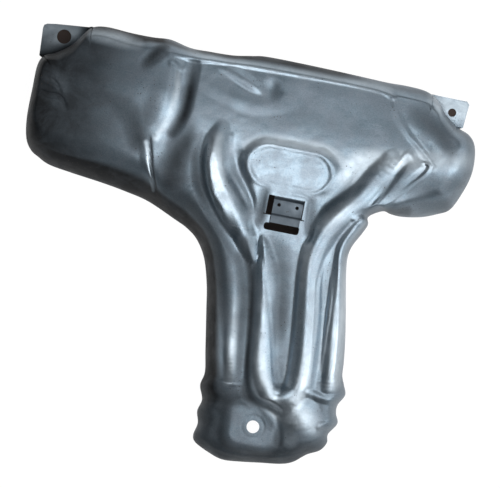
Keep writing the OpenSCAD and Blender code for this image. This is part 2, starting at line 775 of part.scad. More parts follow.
// The origin lies below the middle of the whole sheet, on the plane of the rim
outer_points = [for (row = outer_rings) each row];
middle = [
    (min([for (p = outer_points) p.x]) + max([for (p = outer_points) p.x])) / 2,
    (min([for (p = outer_points) p.y]) + max([for (p = outer_points) p.y])) / 2
];

module heat_shield() {
    color(steel)
    translate([-middle.x, -middle.y, 0])
    difference() {
        pressing();
        opening();
        bolt_hole(left_hole, left_hole_r, sheet_t);
        bolt_hole(right_hole, right_hole_r, sheet_t);
        bolt_hole(stem_hole, stem_hole_r, bolt_pad_z);
    }
}

heat_shield();
window_bracket();
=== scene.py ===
import math
import bpy
import numpy as np
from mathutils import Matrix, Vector


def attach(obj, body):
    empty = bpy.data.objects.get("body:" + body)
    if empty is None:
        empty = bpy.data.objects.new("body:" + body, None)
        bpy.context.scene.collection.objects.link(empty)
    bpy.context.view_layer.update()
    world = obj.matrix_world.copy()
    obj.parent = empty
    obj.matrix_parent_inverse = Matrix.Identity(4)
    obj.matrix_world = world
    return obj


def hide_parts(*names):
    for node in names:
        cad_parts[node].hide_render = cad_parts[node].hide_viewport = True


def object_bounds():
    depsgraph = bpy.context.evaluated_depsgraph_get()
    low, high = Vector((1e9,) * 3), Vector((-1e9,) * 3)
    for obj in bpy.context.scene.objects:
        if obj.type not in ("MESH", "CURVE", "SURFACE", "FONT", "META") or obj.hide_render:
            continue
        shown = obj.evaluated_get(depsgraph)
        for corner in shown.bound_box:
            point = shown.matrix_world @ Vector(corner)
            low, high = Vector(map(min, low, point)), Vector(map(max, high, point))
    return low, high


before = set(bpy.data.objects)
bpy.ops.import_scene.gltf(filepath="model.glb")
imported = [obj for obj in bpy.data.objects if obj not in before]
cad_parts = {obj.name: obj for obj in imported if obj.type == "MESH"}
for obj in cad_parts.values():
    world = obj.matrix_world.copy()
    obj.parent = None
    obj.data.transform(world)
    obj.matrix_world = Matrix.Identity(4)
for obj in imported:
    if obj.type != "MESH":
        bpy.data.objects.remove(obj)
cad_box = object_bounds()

# The sheet is one pressing of aluminised steel, 0.8 mm thick, formed over a manifold's shape.
# Its rim is turned down into a wall, and flat ears and a flat pad take its three bolts.
# Plan points are in millimetres from the middle of the line between the ear holes.
MM = 0.001
sheet_t = 0.8
crown_h = 48
tube_h = 7
line_h = 1.4
ear_spacing = 360
stem_reach = 314
left_hole_r = 6.5
right_hole_r = 3.75
left_ear_reach = 20.5
right_ear_reach = 14
stem_hole_r = 5.75
stem_hole_x = 56.7
seat_ring_r = 10
seat_ring_half_w = 1.8
seat_ring_drop = 0.2
bolt_pad_at = (stem_hole_x - 1.7, -stem_reach)
bolt_pad_z = 38
bolt_pad_size = (36, 32)
bolt_pad_corner = 8
bolt_pad_blend = 12
pad_at = (45, -78)
pad_size = (95, 47)
pad_lift = 2
pad_corner = 25
pad_slope = 9
floor_at = (45.5, -80)
floor_size = (72, 34)
floor_drop = 1.4
floor_slope = 3
window_at = (47.3, -105.5)
window_w = 33
window_l = 17
neck_l = 8
slot_w = 32
slot_l = 6.5
slot_corner = 2.5
slit_reach = 2.2
slit_l = 1
window_margin = 7
field_blend = 7
bracket_w = 27
side_gap = 0.7
stem_sag = 5
stem_sag_y = (-110, -170)
stem_half_w = 62
strip_drop = 2
strip_slope = 4
strip_top_y = (-144, -190)
strip_foot_y = (-279, -270)
dent_at = (16, -12)
dent_size = (11, 12)
dent_drop = 1.1
bulge_join = 9.5
dome_join = 30

# Rim, clockwise from the lower corner of the left arm: x, y, width of the turned-down wall
left_end = [[-190, -107, 26], [-196, -97, 18], [-199, -78, 11], [-199, -50, 9], [-198.5, -30, 9]]
left_ear_foot = [[-194, -20.5, 9], [-184, -15.5, 12], [-172, -6.5, 12], [-164, 4, 11]]
top_far_left = [[-156, 13.2, 11], [-143, 16.3, 12], [-120, 15.2, 14]]
top_left = [
    [-100, 15.2, 14], [-84, 16.2, 14], [-65, 12.2, 10], [-48, 12.2, 10], [-26, 13, 10],
    [-9, 15.8, 12], [5, 17.8, 14]
]
top_right = [
    [40, 17.8, 14], [77, 17, 13], [102, 16.2, 13], [118, 15.8, 14], [135, 16.2, 15],
    [151, 15.2, 15]
]
right_ear_foot = [[160, 12, 14], [168, 6, 13], [174, -2, 13]]
right_end = [
    [186, -11.5, 14], [199, -17, 18], [206, -26, 22], [208.6, -42, 26], [207, -58, 26],
    [200, -78, 26], [194, -88, 24]
]
under_right = [
    [185, -93, 24], [171, -98.6, 22], [154, -101.7, 18], [143, -101.4, 14], [136, -100, 11],
    [127, -104.5, 10]
]
stem_right = [
    [123, -109, 9], [124.4, -115, 9], [120.6, -124, 10], [114, -137, 10], [112, -148, 10],
    [113.6, -163, 9], [117, -181, 9], [120.6, -200, 9], [124.4, -222, 9], [127, -242, 9]
]
foot_right = [
    [128, -254, 9], [131, -262, 10], [134, -271, 11], [129, -281, 10], [129, -289, 10],
    [132, -298, 12], [125.5, -309, 13]
]
foot_end = [
    [126, -317, 16], [121, -325, 18], [110, -331, 18], [99, -340, 18], [88, -344, 16],
    [70, -346.5, 15], [52, -349, 15], [35, -350.3, 15], [21, -346, 16], [8, -339.5, 16]
]
foot_left = [
    [5, -333, 17], [7, -322, 17], [4.4, -311, 17], [6.7, -300, 17], [2.5, -287.5, 18],
    [4.4, -275, 19]
]
stem_left = [[1, -255, 20], [-4.7, -222, 20], [-9.4, -196, 21], [-16.4, -173, 22]]
under_left = [[-26, -158, 24], [-37, -149.5, 24], [-50, -143.5, 26], [-76, -132.5, 30]]
under_far_left = [
    [-98, -127.6, 34], [-120, -124, 36], [-150, -120.3, 36], [-171, -117, 34], [-182, -112, 30]
]

# Middle line that the rings of the mesh close on
spine_left = [-150, -54]
spine_mid_left = [-94, -62]
spine_cross = [48, -84]
spine_right = [160, -48]
spine_foot = [64, -258]
spine_end = [66, -298]

# Broad form: height along y of bulge, panel and dome, and the edges between them
bulge_rows = [[22, -16], [4, -7], [-12, -1], [-35, 4], [-60, 3.5], [-95, -1], [-130, -8], [-160, -10]]
panel_rows = [
    [22, -17], [5, -9], [-22, -4.5], [-48, -1], [-70, 0.3], [-102, 0], [-140, 0], [-170, -1.5],
    [-250, -3], [-272, -4.5], [-292, -8.5], [-310, -12], [-330, -15], [-360, -22]
]
dome_rows = [[22, -18], [2, -9], [-18, -2], [-36, 2.5], [-52, 4], [-72, 2], [-90, -5], [-120, -16]]
bulge_edge = [
    [30, -70], [-28, -69], [-48, -69], [-62, -74], [-78, -84], [-94, -81], [-126, -72], [-170, -62]
]
dome_edge = [
    [30, 119], [0, 124], [-18, 132], [-30, 143], [-42, 155], [-55, 158], [-70, 154], [-85, 146],
    [-100, 135], [-114, 122], [-130, 114]
]

# Raised tubes and the valleys beside them: x, y, half width, share of tube_h
s_tube = [
    [-22, -55, 8, 0.1], [-24, -68, 12, 0.55], [-22.5, -82, 14, 0.85], [-17, -98, 16, 0.95],
    [-9, -113, 18, 1], [3, -129, 17, 1], [14, -144, 13, 0.95], [23, -159, 9, 0.85],
    [28, -167, 5, 0.6]
]
left_tube = [
    [-44, -112, 10, 0.1], [-32, -124, 13, 0.45], [-14, -146, 17, 0.85], [3, -172, 19, 1],
    [13, -196, 20, 1], [19, -219, 20, 1], [21.5, -240, 19, 1], [24, -256, 17, 1],
    [26, -268, 15, 0.75], [27.5, -279, 13, 0.35], [30, -288, 10, 0.1]
]
loop_tube = [
    [32, -143, 3, 0.2], [36, -156, 8, 0.55], [42, -178, 13, 0.85], [45, -206, 14, 0.95],
    [48.5, -229, 15, 1], [51, -252, 16, 1], [56.5, -271, 16.5, 1], [67.5, -287, 15, 1],
    [82, -285, 14, 1], [90, -272, 14, 1], [91, -252, 14, 1], [89, -228, 14, 1], [85, -200, 13.5, 1],
    [81, -174, 12.5, 1], [80, -152, 12.5, 1], [87, -128, 15, 1], [99, -109, 15, 0.95],
    [113, -92, 14, 0.8], [124, -72, 13, 0.65], [132, -54, 9, 0.3]
]
right_tube = [
    [156, -56, 8, 0.15], [147, -70, 10, 0.35], [134, -89, 10, 0.45], [120, -110, 10, 0.5],
    [110, -133, 11, 0.6], [110, -155, 12, 0.65], [112, -190, 13, 0.65], [115, -220, 13, 0.65],
    [118, -250, 12, 0.65], [119, -266, 10, 0.4]
]
foot_tube = [[80, -282, 14, 0.8], [92, -293, 20, 0.8], [101, -309, 22, 0.65], [100, -326, 20, 0.3]]
dent_ridge = [[-34, 1, 6, 0.05], [-18, -5, 7, 0.18], [-2, -12, 7, 0.24], [6, -16, 5, 0.1]]
dent_foot = [[-56, -15, 10, 0.03], [-28, -22, 11, 0.12], [2, -28, 11, 0.16], [34, -20, 10, 0.06]]
s_valley = [
    [-40, -66, 8, -0.05], [-40, -80, 8, -0.1], [-36, -97, 8, -0.2], [-29, -115, 7, -0.32],
    [-14, -136, 7, -0.35], [4, -155, 6, -0.2], [14, -167, 5, -0.05]
]
left_valley = [
    [40, -262, 8, -0.05], [44, -280, 8, -0.3], [54, -294, 8, -0.35], [67, -302, 7, -0.35],
    [77, -311, 7, -0.4], [80, -322, 7, -0.4]
]
right_valley = [
    [112, -120, 7, -0.1], [100, -136, 8, -0.15], [98, -152, 8, -0.14], [100, -190, 8, -0.14],
    [102, -220, 8, -0.14], [105, -250, 8, -0.1], [107, -266, 7, -0.05]
]
bulge_valley = [
    [-59, -4, 8, -0.2], [-59, -22, 8, -0.4], [-60, -42, 8, -0.4], [-63, -60, 8, -0.25],
    [-70, -76, 7, -0.05]
]
pad_left_valley = [
    [-9, -70, 9, -0.05], [-6, -80, 10, -0.3], [-2, -92, 10, -0.4], [8, -106, 9, -0.35],
    [19, -120, 6, -0.25]
]
pad_right_valley = [
    [99, -62, 9, -0.05], [96, -76, 9, -0.15], [88, -92, 9, -0.2], [77, -106, 8, -0.2],
    [71, -120, 6, -0.1]
]
inner_groove = [
    [145, -49, 5, -0.036], [142, -60, 5, -0.081], [135, -75, 5, -0.09], [126, -92, 5, -0.09],
    [115, -111, 5, -0.054]
]
outer_groove = [
    [166, -54, 5, -0.054], [161, -61, 5, -0.113], [151, -76, 5, -0.09], [138, -94, 5, -0.09],
    [125, -109, 5, -0.054]
]
s_shoulder = [
    [-26, -62, 7, 0.15], [-27.5, -78, 9, 0.75], [-24.5, -94, 9.5, 0.9], [-17, -112, 10, 0.95],
    [-6, -130, 9, 0.8], [4, -144, 8, 0.4]
]

# Stiffening lines: x, y, half width, share of line_h
top_line = [
    [-82, 2, 3.5, 0.6], [-59, 2, 3.5, 1], [-37, 4, 3.5, 1], [-4, 5.5, 3.5, 1], [35, 6.5, 3.5, 1],
    [63, 7, 3.5, 1], [91, 7, 3.5, 1], [112, 6, 3.5, 1], [124, 2, 3.5, 0.8]
]
dome_line = [
    [124, 0, 4, 0.2], [132, -16, 4, 0.5], [143, -28, 4, 0.5], [156, -39, 4, 0.5],
    [171, -54, 4, 0.2]
]
s_line = [
    [-13, -60, 3, 0.4], [-11, -75, 3.5, 0.9], [-4, -91, 3.5, 0.9], [8, -107, 3.5, 0.9],
    [18, -122, 3.5, 0.5]
]
pinch_line = [
    [-91, -76, 5, 0.2], [-86, -88, 6, 0.5], [-83, -100, 6, 0.5], [-78, -113, 6, 0.5],
    [-73, -124, 5, 0.2]
]
foot_bead = [[102, -275, 5, 1], [118, -277, 5, 1.6], [133, -272, 5, 1.6]]
foot_bump = [[116, -302, 5, 0.8], [131, -298, 5, 1.4]]

# Sunken strip between the legs of the looped tube: y, left edge, right edge
strip_rows = [
    [-140, 30, 70], [-158, 35, 68], [-172, 41, 68], [-189, 46, 70], [-208, 52, 72], [-228, 58, 74],
    [-244, 62, 75], [-261, 66, 76], [-274, 70, 75]
]

# Fine creases, pinches and hem lines of the pressing: x, y, half width, height
creases = {
    "hem_second": [[-72, 9, 2, 0.2], [-50, 10, 2, 0.6], [-22, 10.5, 2, 0.5], [-4, 11, 2, 0.1]],
    "hem_third": [[-30, 7.5, 1.8, 0.2], [-12, 10, 1.8, 0.5], [6, 13, 1.8, 0.5], [14, 14, 1.8, 0.1]],
    "hem_right": [[126, 4.5, 2.2, 0.2], [146, 4, 2.2, 0.7], [162, 2.5, 2.2, 0.6], [172, -2, 2, 0.1]],
    "ear_dimple": [[-167, 10, 3, 0.7], [-163, 10, 3, 0.7]],
    "gusset_dot": [[-197, -16, 3, 0.7], [-195, -19, 3, 0.7]],
    "bulge_dimple": [[-78, -6, 4.5, 0.7], [-69, -9, 4, 0.5]],
    "bulge_shoulder": [
        [-74, -8, 2.6, 0.2], [-72, -20, 3, 0.6], [-70.5, -34, 3, 0.6], [-72.5, -56, 3, 0.5],
        [-79, -72, 2.8, 0.4]
    ],
    "bulge_fold": [
        [-84.8, -76, 2, -0.5], [-81.8, -89, 2.4, -1.5], [-78.8, -101, 2.4, -1.6],
        [-74.3, -113, 2.4, -1.5], [-69.3, -125.5, 2, -0.5]
    ],
    "bulge_dip": [[-84, 12, 6, -0.3], [-91, 2, 8, -1.2], [-99, -8, 8, -1.1], [-104, -16, 6, -0.2]],
    "crumple_a": [[-191, -36, 2.4, 0.3], [-182, -38, 2.8, 1], [-172, -43, 2.4, 0.4]],
    "crumple_b": [[-188, -44, 2.2, 0.4], [-178, -47, 2.6, 1.1], [-169, -50, 2.2, 0.4]],
    "crumple_c": [[-180, -40, 2, -0.3], [-175, -46, 2.2, -1.1], [-170, -52, 2, -0.3]],
    "end_groove": [
        [-195, -52, 2.6, -0.4], [-182, -55.5, 3.2, -1.6], [-171, -56, 3.2, -1.6],
        [-163, -65, 2.6, -0.5]
    ],
    "s_edge": [
        [-17, -62, 1.8, 0.2], [-13, -78, 2, 0.6], [-7, -92, 2, 0.6], [6, -106, 2, 0.6],
        [16, -119, 2, 0.5], [22, -130, 1.8, 0.2]
    ],
    "s_pinch_a": [[-24, -104, 2, -0.2], [-19, -110, 2.2, -0.7], [-15, -117, 2, -0.2]],
    "s_pinch_b": [[-17, -118, 2, -0.2], [-12, -125, 2.2, -0.7], [-9, -133, 2, -0.2]],
    "s_tip_fold": [
        [17, -150, 2, -0.3], [22, -162, 2.4, -1.1], [28, -170, 2.4, -1.1], [33, -163, 2, -0.6],
        [33, -152, 1.8, -0.2]
    ],
    "dome_ridge": [
        [124, 1, 2, 0.2], [128, -8, 2.2, 0.4], [134, -16, 2.2, 0.4], [143, -28, 2.2, 0.4],
        [152, -35, 2.2, 0.4], [162, -43, 2.2, 0.4], [173, -54, 2, 0.1]
    ],
    "dome_facet": [[136, 11, 3, 0.8], [144, 9, 3, 0.8]],
    "inner_hook": [
        [152, -50, 2, 0.2], [147, -45, 2.2, 0.9], [143, -49, 2.2, 0.9], [138, -60, 2, 0.8],
        [130, -85, 1.8, 0.6], [120, -107, 1.8, 0.3]
    ],
    "outer_hook": [
        [160, -51, 2, 0.3], [167, -52, 2.4, 1], [166, -58, 2.4, 1], [156, -71, 2, 0.8],
        [142, -88, 1.8, 0.7], [118, -112, 1.8, 0.4]
    ],
    "hook_hollow": [[163, -58, 3, -0.4], [156, -66, 3, -0.9], [147, -76, 2.6, -0.4]],
    "waist_pinch_a": [[109, -113, 2.2, 0.8], [114, -110, 2.2, 0.8]],
    "waist_pinch_b": [[118, -117, 2.2, 0.8], [122, -113, 2.2, 0.8]],
    "floor_end": [
        [76, -65, 1.6, -0.2], [82, -72, 1.8, -0.5], [83, -80, 1.8, -0.5], [80, -92, 1.6, -0.2]
    ],
    "window_lip": [
        [30, -101.5, 1.8, 0.2], [46, -101, 2, 0.5], [66, -102, 2, 0.6], [68.5, -112, 2, 0.6],
        [69, -128, 1.8, 0.3]
    ],
    "window_hollow": [[26.5, -104, 3, -0.5], [25.5, -116, 3.6, -1], [27, -128, 3, -0.5]],
    "neck_wrinkle_a": [[24, -131, 2, 0.7], [30, -136, 2, 0.7]],
    "neck_wrinkle_b": [[35, -140, 1.8, 0.5], [42, -141, 1.8, 0.5]],
    "strip_edge": [
        [32, -143, 1.6, 0.3], [39, -165, 1.8, 0.6], [45, -184, 1.8, 0.6], [53, -208, 1.8, 0.7],
        [62, -243, 1.8, 0.6], [69, -270, 1.6, 0.3]
    ],
    "strip_tip": [[71.5, -276, 3, 0.8], [72, -278, 3, 0.8]],
    "leg_line_a": [
        [90, -142, 1.7, 0.2], [86, -172, 1.8, 0.6], [90, -200, 1.8, 0.6], [92, -217, 1.8, 0.6],
        [95, -240, 1.8, 0.6], [96, -262, 1.7, 0.2]
    ],
    "leg_line_b": [
        [95, -146, 1.7, 0.2], [91, -172, 1.8, 0.5], [95, -200, 1.8, 0.5], [97, -220, 1.8, 0.5],
        [99, -262, 1.7, 0.2]
    ],
    "leg_rib": [
        [100, -168, 2.4, 0.2], [103, -190, 2.6, 0.7], [105, -225, 2.6, 0.7], [107, -262, 2.4, 0.3]
    ],
    "loop_heel": [[64, -296, 11, 0.3], [80, -303, 15, 1.4], [96, -304, 16, 1.2]],
    "foot_ring_a": [[3, -287, 2.6, 0.2], [12, -288, 2.8, 0.8], [24, -291, 2.4, 0.2]],
    "foot_ring_b": [[5, -301, 2.6, 0.4], [14, -302, 2.8, 0.7], [24, -303, 2.4, 0.2]],
    "tube_ring": [[12, -277, 2, 0.3], [24, -281, 2.2, 0.8], [38, -279, 2, 0.3]],
    "foot_fold": [[36, -296, 3, 0.2], [44, -293, 3.4, 0.7], [50, -296, 3, 0.2]],
    "foot_hem": [
        [12, -333, 2, 0.3], [28, -341, 2.2, 0.8], [56, -342, 2.2, 0.8], [84, -338, 2.2, 0.8],
        [104, -331, 2.2, 0.6], [118, -321, 2, 0.2]
    ],
    "foot_hem_right": [[110, -318, 2, 0.3], [120, -310, 2.2, 0.8], [126, -301, 2, 0.3]],
}

# Where dirt and painted shade darken the hollows and flanks, and where rubbing and painted highlights
# brighten the crests: x, y, half width, amount
dirt_and_shade_paths = {
    "left_ear_root": [
        [-200, -26, 11, 0.75], [-184, -20, 12, 0.8], [-168, -9, 12, 0.85], [-158, 4, 10, 0.5]
    ],
    "left_ear_soot": [[-187, 8, 4, 0.35], [-179, 2, 4, 0.5], [-184, -8, 4, 0.45], [-198, -6, 5, 0.5]],
    "bulge_dip": [[-86, 10, 8, 0.6], [-93, 0, 11, 0.9], [-100, -10, 11, 0.8], [-106, -18, 8, 0.3]],
    "bulge_valley": [[-59, -4, 8, 0.6], [-57, -28, 9, 0.95], [-58, -50, 9, 0.95], [-64, -68, 9, 0.8]],
    "bulge_foot": [[-134, -46, 30, 0.75], [-108, -60, 26, 0.75], [-94, -80, 20, 0.8]],
    "bulge_shoulder_back": [
        [-90, -24, 14, 0.3], [-90, -40, 16, 0.45], [-91, -58, 16, 0.6], [-97, -73, 14, 0.6]
    ],
    "panel_low_left": [
        [-51, -58, 12, 0.4], [-52, -72, 16, 0.8], [-57, -92, 22, 0.85], [-58, -112, 26, 0.85]
    ],
    "bulge_fold": [
        [-83.6, -77, 2, 0.8], [-80.4, -90, 2, 0.9], [-77, -102, 2, 0.9], [-68.3, -124, 2, 0.9]
    ],
    "s_valley": [[-42, -66, 9, 0.3], [-41, -88, 10, 0.7], [-32, -112, 10, 0.75], [-10, -142, 8, 0.6]],
    "stem_left_side": [
        [-60, -122, 26, 0.75], [-30, -134, 24, 0.75], [-8, -160, 22, 0.75], [6, -200, 18, 0.7],
        [14, -232, 14, 0.4]
    ],
    "loop_left_side": [
        [16, -152, 8, 0.7], [27, -176, 8, 0.85], [33.5, -206, 7, 0.9], [38, -240, 6, 0.9],
        [42, -266, 5.5, 0.85], [49, -286, 5, 0.7], [67, -303, 5, 0.6], [77, -312, 6, 0.6]
    ],
    "left_tube_flank": [
        [14, -166, 10, 0.5], [25, -194, 12, 0.65], [29, -222, 12, 0.7], [33, -256, 9, 0.6],
        [36, -280, 7, 0.4]
    ],
    "strip_left_half": [
        [46, -143, 14, 0.3], [58, -180, 13, 0.6], [64, -220, 11, 0.6], [69, -248, 8, 0.2]
    ],
    "strip_right_edge": [[73, -190, 5, 0.1], [75, -215, 6, 0.4], [77, -238, 5, 0.2]],
    "foot_left_side": [[12, -300, 16, 0.4], [18, -325, 16, 0.5]],
    "foot_low_edge": [[30, -340, 8, 0.5], [70, -340, 8, 0.5], [104, -332, 8, 0.3]],
    "panel_dent": [[17, -3, 5, 0.3], [19, -10, 6, 0.6], [18, -18, 6, 0.4]],
    "dome_top": [[150, -10, 16, 0.45], [172, -22, 14, 0.6], [186, -40, 12, 0.5]],
    "panel_top_right": [
        [36, -14, 18, 0.1], [80, -14, 20, 0.15], [112, -12, 20, 0.22], [130, -26, 18, 0.24],
        [140, -38, 14, 0.2]
    ],
    "dome_low_edge": [[165, -92, 14, 0.4], [190, -86, 16, 0.6]],
    "dome_low_half": [
        [134, -80, 12, 0.3], [156, -75, 14, 0.4], [180, -69, 14, 0.5], [200, -63, 12, 0.5]
    ],
    "waist_right": [[118, -106, 9, 0.4], [138, -101, 10, 0.7], [156, -97, 10, 0.7]],
    "window_left_side": [[27, -104, 8, 0.5], [27, -118, 9, 0.65], [27, -131, 7, 0.5]],
    "window_right_side": [[70, -104, 6, 0.4], [72, -118, 7, 0.5], [72, -132, 6, 0.5]],
}
# Crests lightened by rubbing and by painted highlights: x, y, half width, amount
rub_and_highlight_paths = {
    "left_top_hem": [[-152, 6, 9, 0.8], [-130, 6, 10, 1], [-112, 5, 8, 0.6]],
    "bulge_shoulder": [
        [-71, -14, 3, 0.5], [-69, -30, 4, 0.8], [-71, -54, 4.5, 0.45], [-79, -75, 4.5, 0.75]
    ],
    "bulge_pinch": [
        [-87, -81, 3.4, 0.9], [-83.6, -90, 2.6, 0.9], [-80.6, -102, 2.4, 0.8],
        [-72.5, -122, 2.2, 0.4]
    ],
    "top_hem": [
        [-84, 16, 8, 0.5], [-66, 12, 8, 0.6], [-50, 6, 7, 0.5], [0, 6, 7, 0.4], [60, 8, 7, 0.4],
        [118, 7, 7, 0.4]
    ],
    "left_tube": [[19, -204, 6, 0.2], [22, -228, 6, 0.5], [24, -248, 6.5, 0.9], [26.5, -278, 6.5, 0.9]],
    "loop_tube": [
        [43, -200, 6, 0.3], [47, -230, 7, 0.5], [51, -254, 8, 1], [56, -275, 11, 1],
        [74, -292, 12, 1], [90, -284, 10, 1], [92, -252, 8, 0.9], [90, -218, 7, 0.35],
        [86, -170, 6, 0.2]
    ],
    "right_tube": [[113, -150, 9, 0.5], [116, -200, 9, 0.9], [120, -262, 9, 0.9]],
    "foot_tube": [[80, -297, 12, 1], [98, -298, 14, 0.8], [110, -304, 12, 0.5]],
    "foot_tube_end": [[89, -306, 9, 0.8], [92, -320, 9, 0.5]],
    "strip_right_wall": [
        [74, -146, 7, 0.8], [74, -172, 7, 0.8], [77, -200, 6, 0.5], [79, -235, 6, 0.5],
        [79, -268, 6, 0.7]
    ],
    "leg_rib": [[104, -160, 7, 0.2], [105, -200, 7, 0.4], [108, -250, 7, 0.4]],
    "pad_upper_edge": [
        [2, -66, 6, 0.5], [18, -58, 7, 0.8], [46, -56, 7, 0.8], [76, -57, 7, 0.8],
        [92, -66, 6, 0.5]
    ],
    "s_tube": [
        [-25, -64, 8, 0.7], [-24, -80, 9, 0.9], [-19, -98, 10, 0.9], [-11, -114, 10, 0.6],
        [2, -130, 9, 0.3]
    ],
    "loop_arm": [[84, -124, 9, 0.5], [94, -111, 9, 1], [106, -98, 7, 0.3]],
    "dome_crest": [
        [98, -76, 14, 0.7], [108, -60, 14, 1], [130, -55, 13, 1], [152, -51, 13, 1],
        [176, -46, 12, 0.6], [198, -42, 12, 0.5]
    ],
    "left_ear": [[-197, 4, 16, 0.8], [-172, 6, 14, 0.8]],
    "upper_crumple": [[-188, -36, 9, 0.08], [-178, -40, 11, 0.14], [-168, -46, 8, 0.08]],
    "lower_crumple": [[-184, -60, 6, 0.05], [-172, -61, 6, 0.1], [-166, -67, 6, 0.05]],
    "left_ear_root": [[-200, -14, 9, 0.4], [-190, -10, 9, 0.5], [-180, -3, 8, 0.5]],
    "right_ear": [[168, 6, 16, 0.8], [190, 4, 16, 0.8]],
}


def ramp(a, b, t):
    """Smooth step from 0 at a to 1 at b."""
    u = np.clip((np.asarray(t, float) - a) / (b - a), 0, 1)
    return u * u * (3 - 2 * u)


def mix(a, b, t):
    return a + (b - a) * t


def dome(u):
    """Rounded hump, 1 at the middle and 0 from 1 outwards."""
    return np.maximum(0, 1 - u * u) ** 1.5


def flow(rows, t):
    """Smooth curve through rows of position and value, positions falling."""
    rows = np.array(rows, float)
    at, value = rows[:, 0], rows[:, 1]
    last = len(rows) - 1
    before = np.maximum(np.arange(last + 1) - 1, 0)
    after = np.minimum(np.arange(last + 1) + 1, last)
    tilt = (value[after] - value[before]) / (at[after] - at[before])
    i = np.clip(np.searchsorted(-at, -np.asarray(t, float), side="right") - 1, 0, last - 1)
    span = at[i + 1] - at[i]
    u = np.clip((t - at[i]) / span, 0, 1)
    u2, u3 = u * u, u * u * u
    return (
        value[i] * (2 * u3 - 3 * u2 + 1) + value[i + 1] * (3 * u2 - 2 * u3)
        + span * (tilt[i] * (u3 - 2 * u2 + u) + tilt[i + 1] * (u3 - u2))
    )


def bent(path, steps, closed=False):
    """Points on a smooth curve through the path's own points."""
    p = np.array(path, float)
    n = len(p)
    u = (np.arange(steps) / steps)[:, None]
    out = []
    for i in range(n if closed else n - 1):
        if closed:
            a, b, c, d = p[i - 1], p[i], p[(i + 1) % n], p[(i + 2) % n]
        else:
            a, b, c, d = p[max(0, i - 1)], p[i], p[i + 1], p[min(n - 1, i + 2)]
        out.append(((b * 2) + (c - a) * u + (a * 2 - b * 5 + c * 4 - d) * u ** 2
                    + (b * 3 - a - c * 3 + d) * u ** 3) / 2)
    if not closed:
        out.append(p[-1:])
    return np.vstack(out)


def path_height(x, y, path, steps=4):
    """Height of a rounded ridge or valley along a path of x, y, half width, height."""
    points = bent(path, steps)
    reach = points[:, 2].max()
    low, high = points[:, :2].min(0) - reach, points[:, :2].max(0) + reach
    inside = (x > low[0]) & (x < high[0]) & (y > low[1]) & (y < high[1])
    px, py = x[inside], y[inside]
    best = np.zeros_like(px)
    raised = path[0][3] > 0
    for a, b in zip(points[:-1], points[1:]):
        run = b[:2] - a[:2]
        u = np.clip(((px - a[0]) * run[0] + (py - a[1]) * run[1]) / (run @ run), 0, 1)
        away = np.hypot(px - a[0] - run[0] * u, py - a[1] - run[1] * u) / mix(a[2], b[2], u)
        rise = mix(a[3], b[3], u) * dome(away)
        best = np.maximum(best, rise) if raised else np.minimum(best, rise)
    out = np.zeros_like(x)
    out[inside] = best
    return out


def box_gap(x, y, centre, half, r):
    """Distance from a rounded rectangle's edge, negative inside."""
    qx = np.abs(x - centre[0]) - half[0] + r
    qy = np.abs(y - centre[1]) - half[1] + r
    return np.hypot(np.maximum(qx, 0), np.maximum(qy, 0)) + np.minimum(np.maximum(qx, qy), 0) - r


def broad(x, y):
    """Bulge, panel and dome joined across their edges, and the sagging stem."""
    along = (y - spine_cross[1]) / (spine_end[1] - spine_cross[1])
    off = (x - mix(spine_cross[0], spine_end[0], along)) / stem_half_w
    past_bulge = ramp(-bulge_join, bulge_join, x - flow(bulge_edge, y))
    past_dome = ramp(0, dome_join, x - flow(dome_edge, y))
    whole = mix(mix(flow(bulge_rows, y), flow(panel_rows, y), past_bulge), flow(dome_rows, y), past_dome)
    return whole - ramp(*stem_sag_y, y) * stem_sag * off ** 2


def pad_height(x, y):
    """Raised obround pad with its sunken floor."""
    half = np.array(pad_size) / 2 - pad_slope
    outer = ramp(pad_slope, 0, box_gap(x, y, pad_at, half, pad_corner - pad_slope))
    floor_gap = box_gap(x, y, floor_at, np.array(floor_size) / 2, floor_size[1] / 2)
    return pad_lift * outer - floor_drop * ramp(floor_slope / 2, -floor_slope / 2, floor_gap)


def strip_height(x, y):
    """Sunken strip between the legs of the looped tube."""
    rows = np.array(strip_rows, float)[::-1]
    left = np.interp(y, rows[:, 0], rows[:, 1])
    right = np.interp(y, rows[:, 0], rows[:, 2])
    across = ramp(-strip_slope, 0, x - left) * ramp(strip_slope, 0, x - right)
    return -strip_drop * across * ramp(*strip_top_y, y) * ramp(*strip_foot_y, y)


def face_height(x, y, fine):
    """Outer face above the rim plane, before the wall turns it down.

    Tubes are summed as cubes, so that those that meet melt into each other.
    """
    free = broad(x, y) + pad_height(x, y) + strip_height(x, y)
    raised = sum(path_height(x, y, path) ** 3 for path in (
        s_tube, s_shoulder, left_tube, loop_tube, right_tube, foot_tube, dent_ridge, dent_foot))
    free = free + tube_h * np.cbrt(raised)
    for path in (s_valley, left_valley, right_valley, bulge_valley, pad_left_valley,
                 pad_right_valley, inner_groove, outer_groove):
        free = free + tube_h * path_height(x, y, path)
    for path in (top_line, dome_line, s_line, pinch_line, foot_bead, foot_bump):
        free = free + line_h * path_height(x, y, path)
    dent_x, dent_y = (x - dent_at[0]) / dent_size[0], (y - dent_at[1]) / dent_size[1]
    free = free - dent_drop * dome(np.hypot(dent_x, dent_y))
    reach = window_l + neck_l + slot_l
    field = ramp(field_blend, 0, box_gap(
        x, y, (window_at[0], window_at[1] - reach / 2),
        (window_w / 2 + window_margin, (reach + window_margin) / 2), window_margin))
    seat = ramp(bolt_pad_blend, 0, box_gap(
        x, y, bolt_pad_at, np.array(bolt_pad_size) / 2, bolt_pad_corner))
    height = mix(crown_h + mix(free, 0, field), bolt_pad_z, seat)
    if fine:
        for path in creases.values():
            height = height + path_height(x, y, path)
        from_seat = np.hypot(x - stem_hole_x, y + stem_reach)
        height = height - seat_ring_drop * dome((from_seat - seat_ring_r) / seat_ring_half_w)
    return height


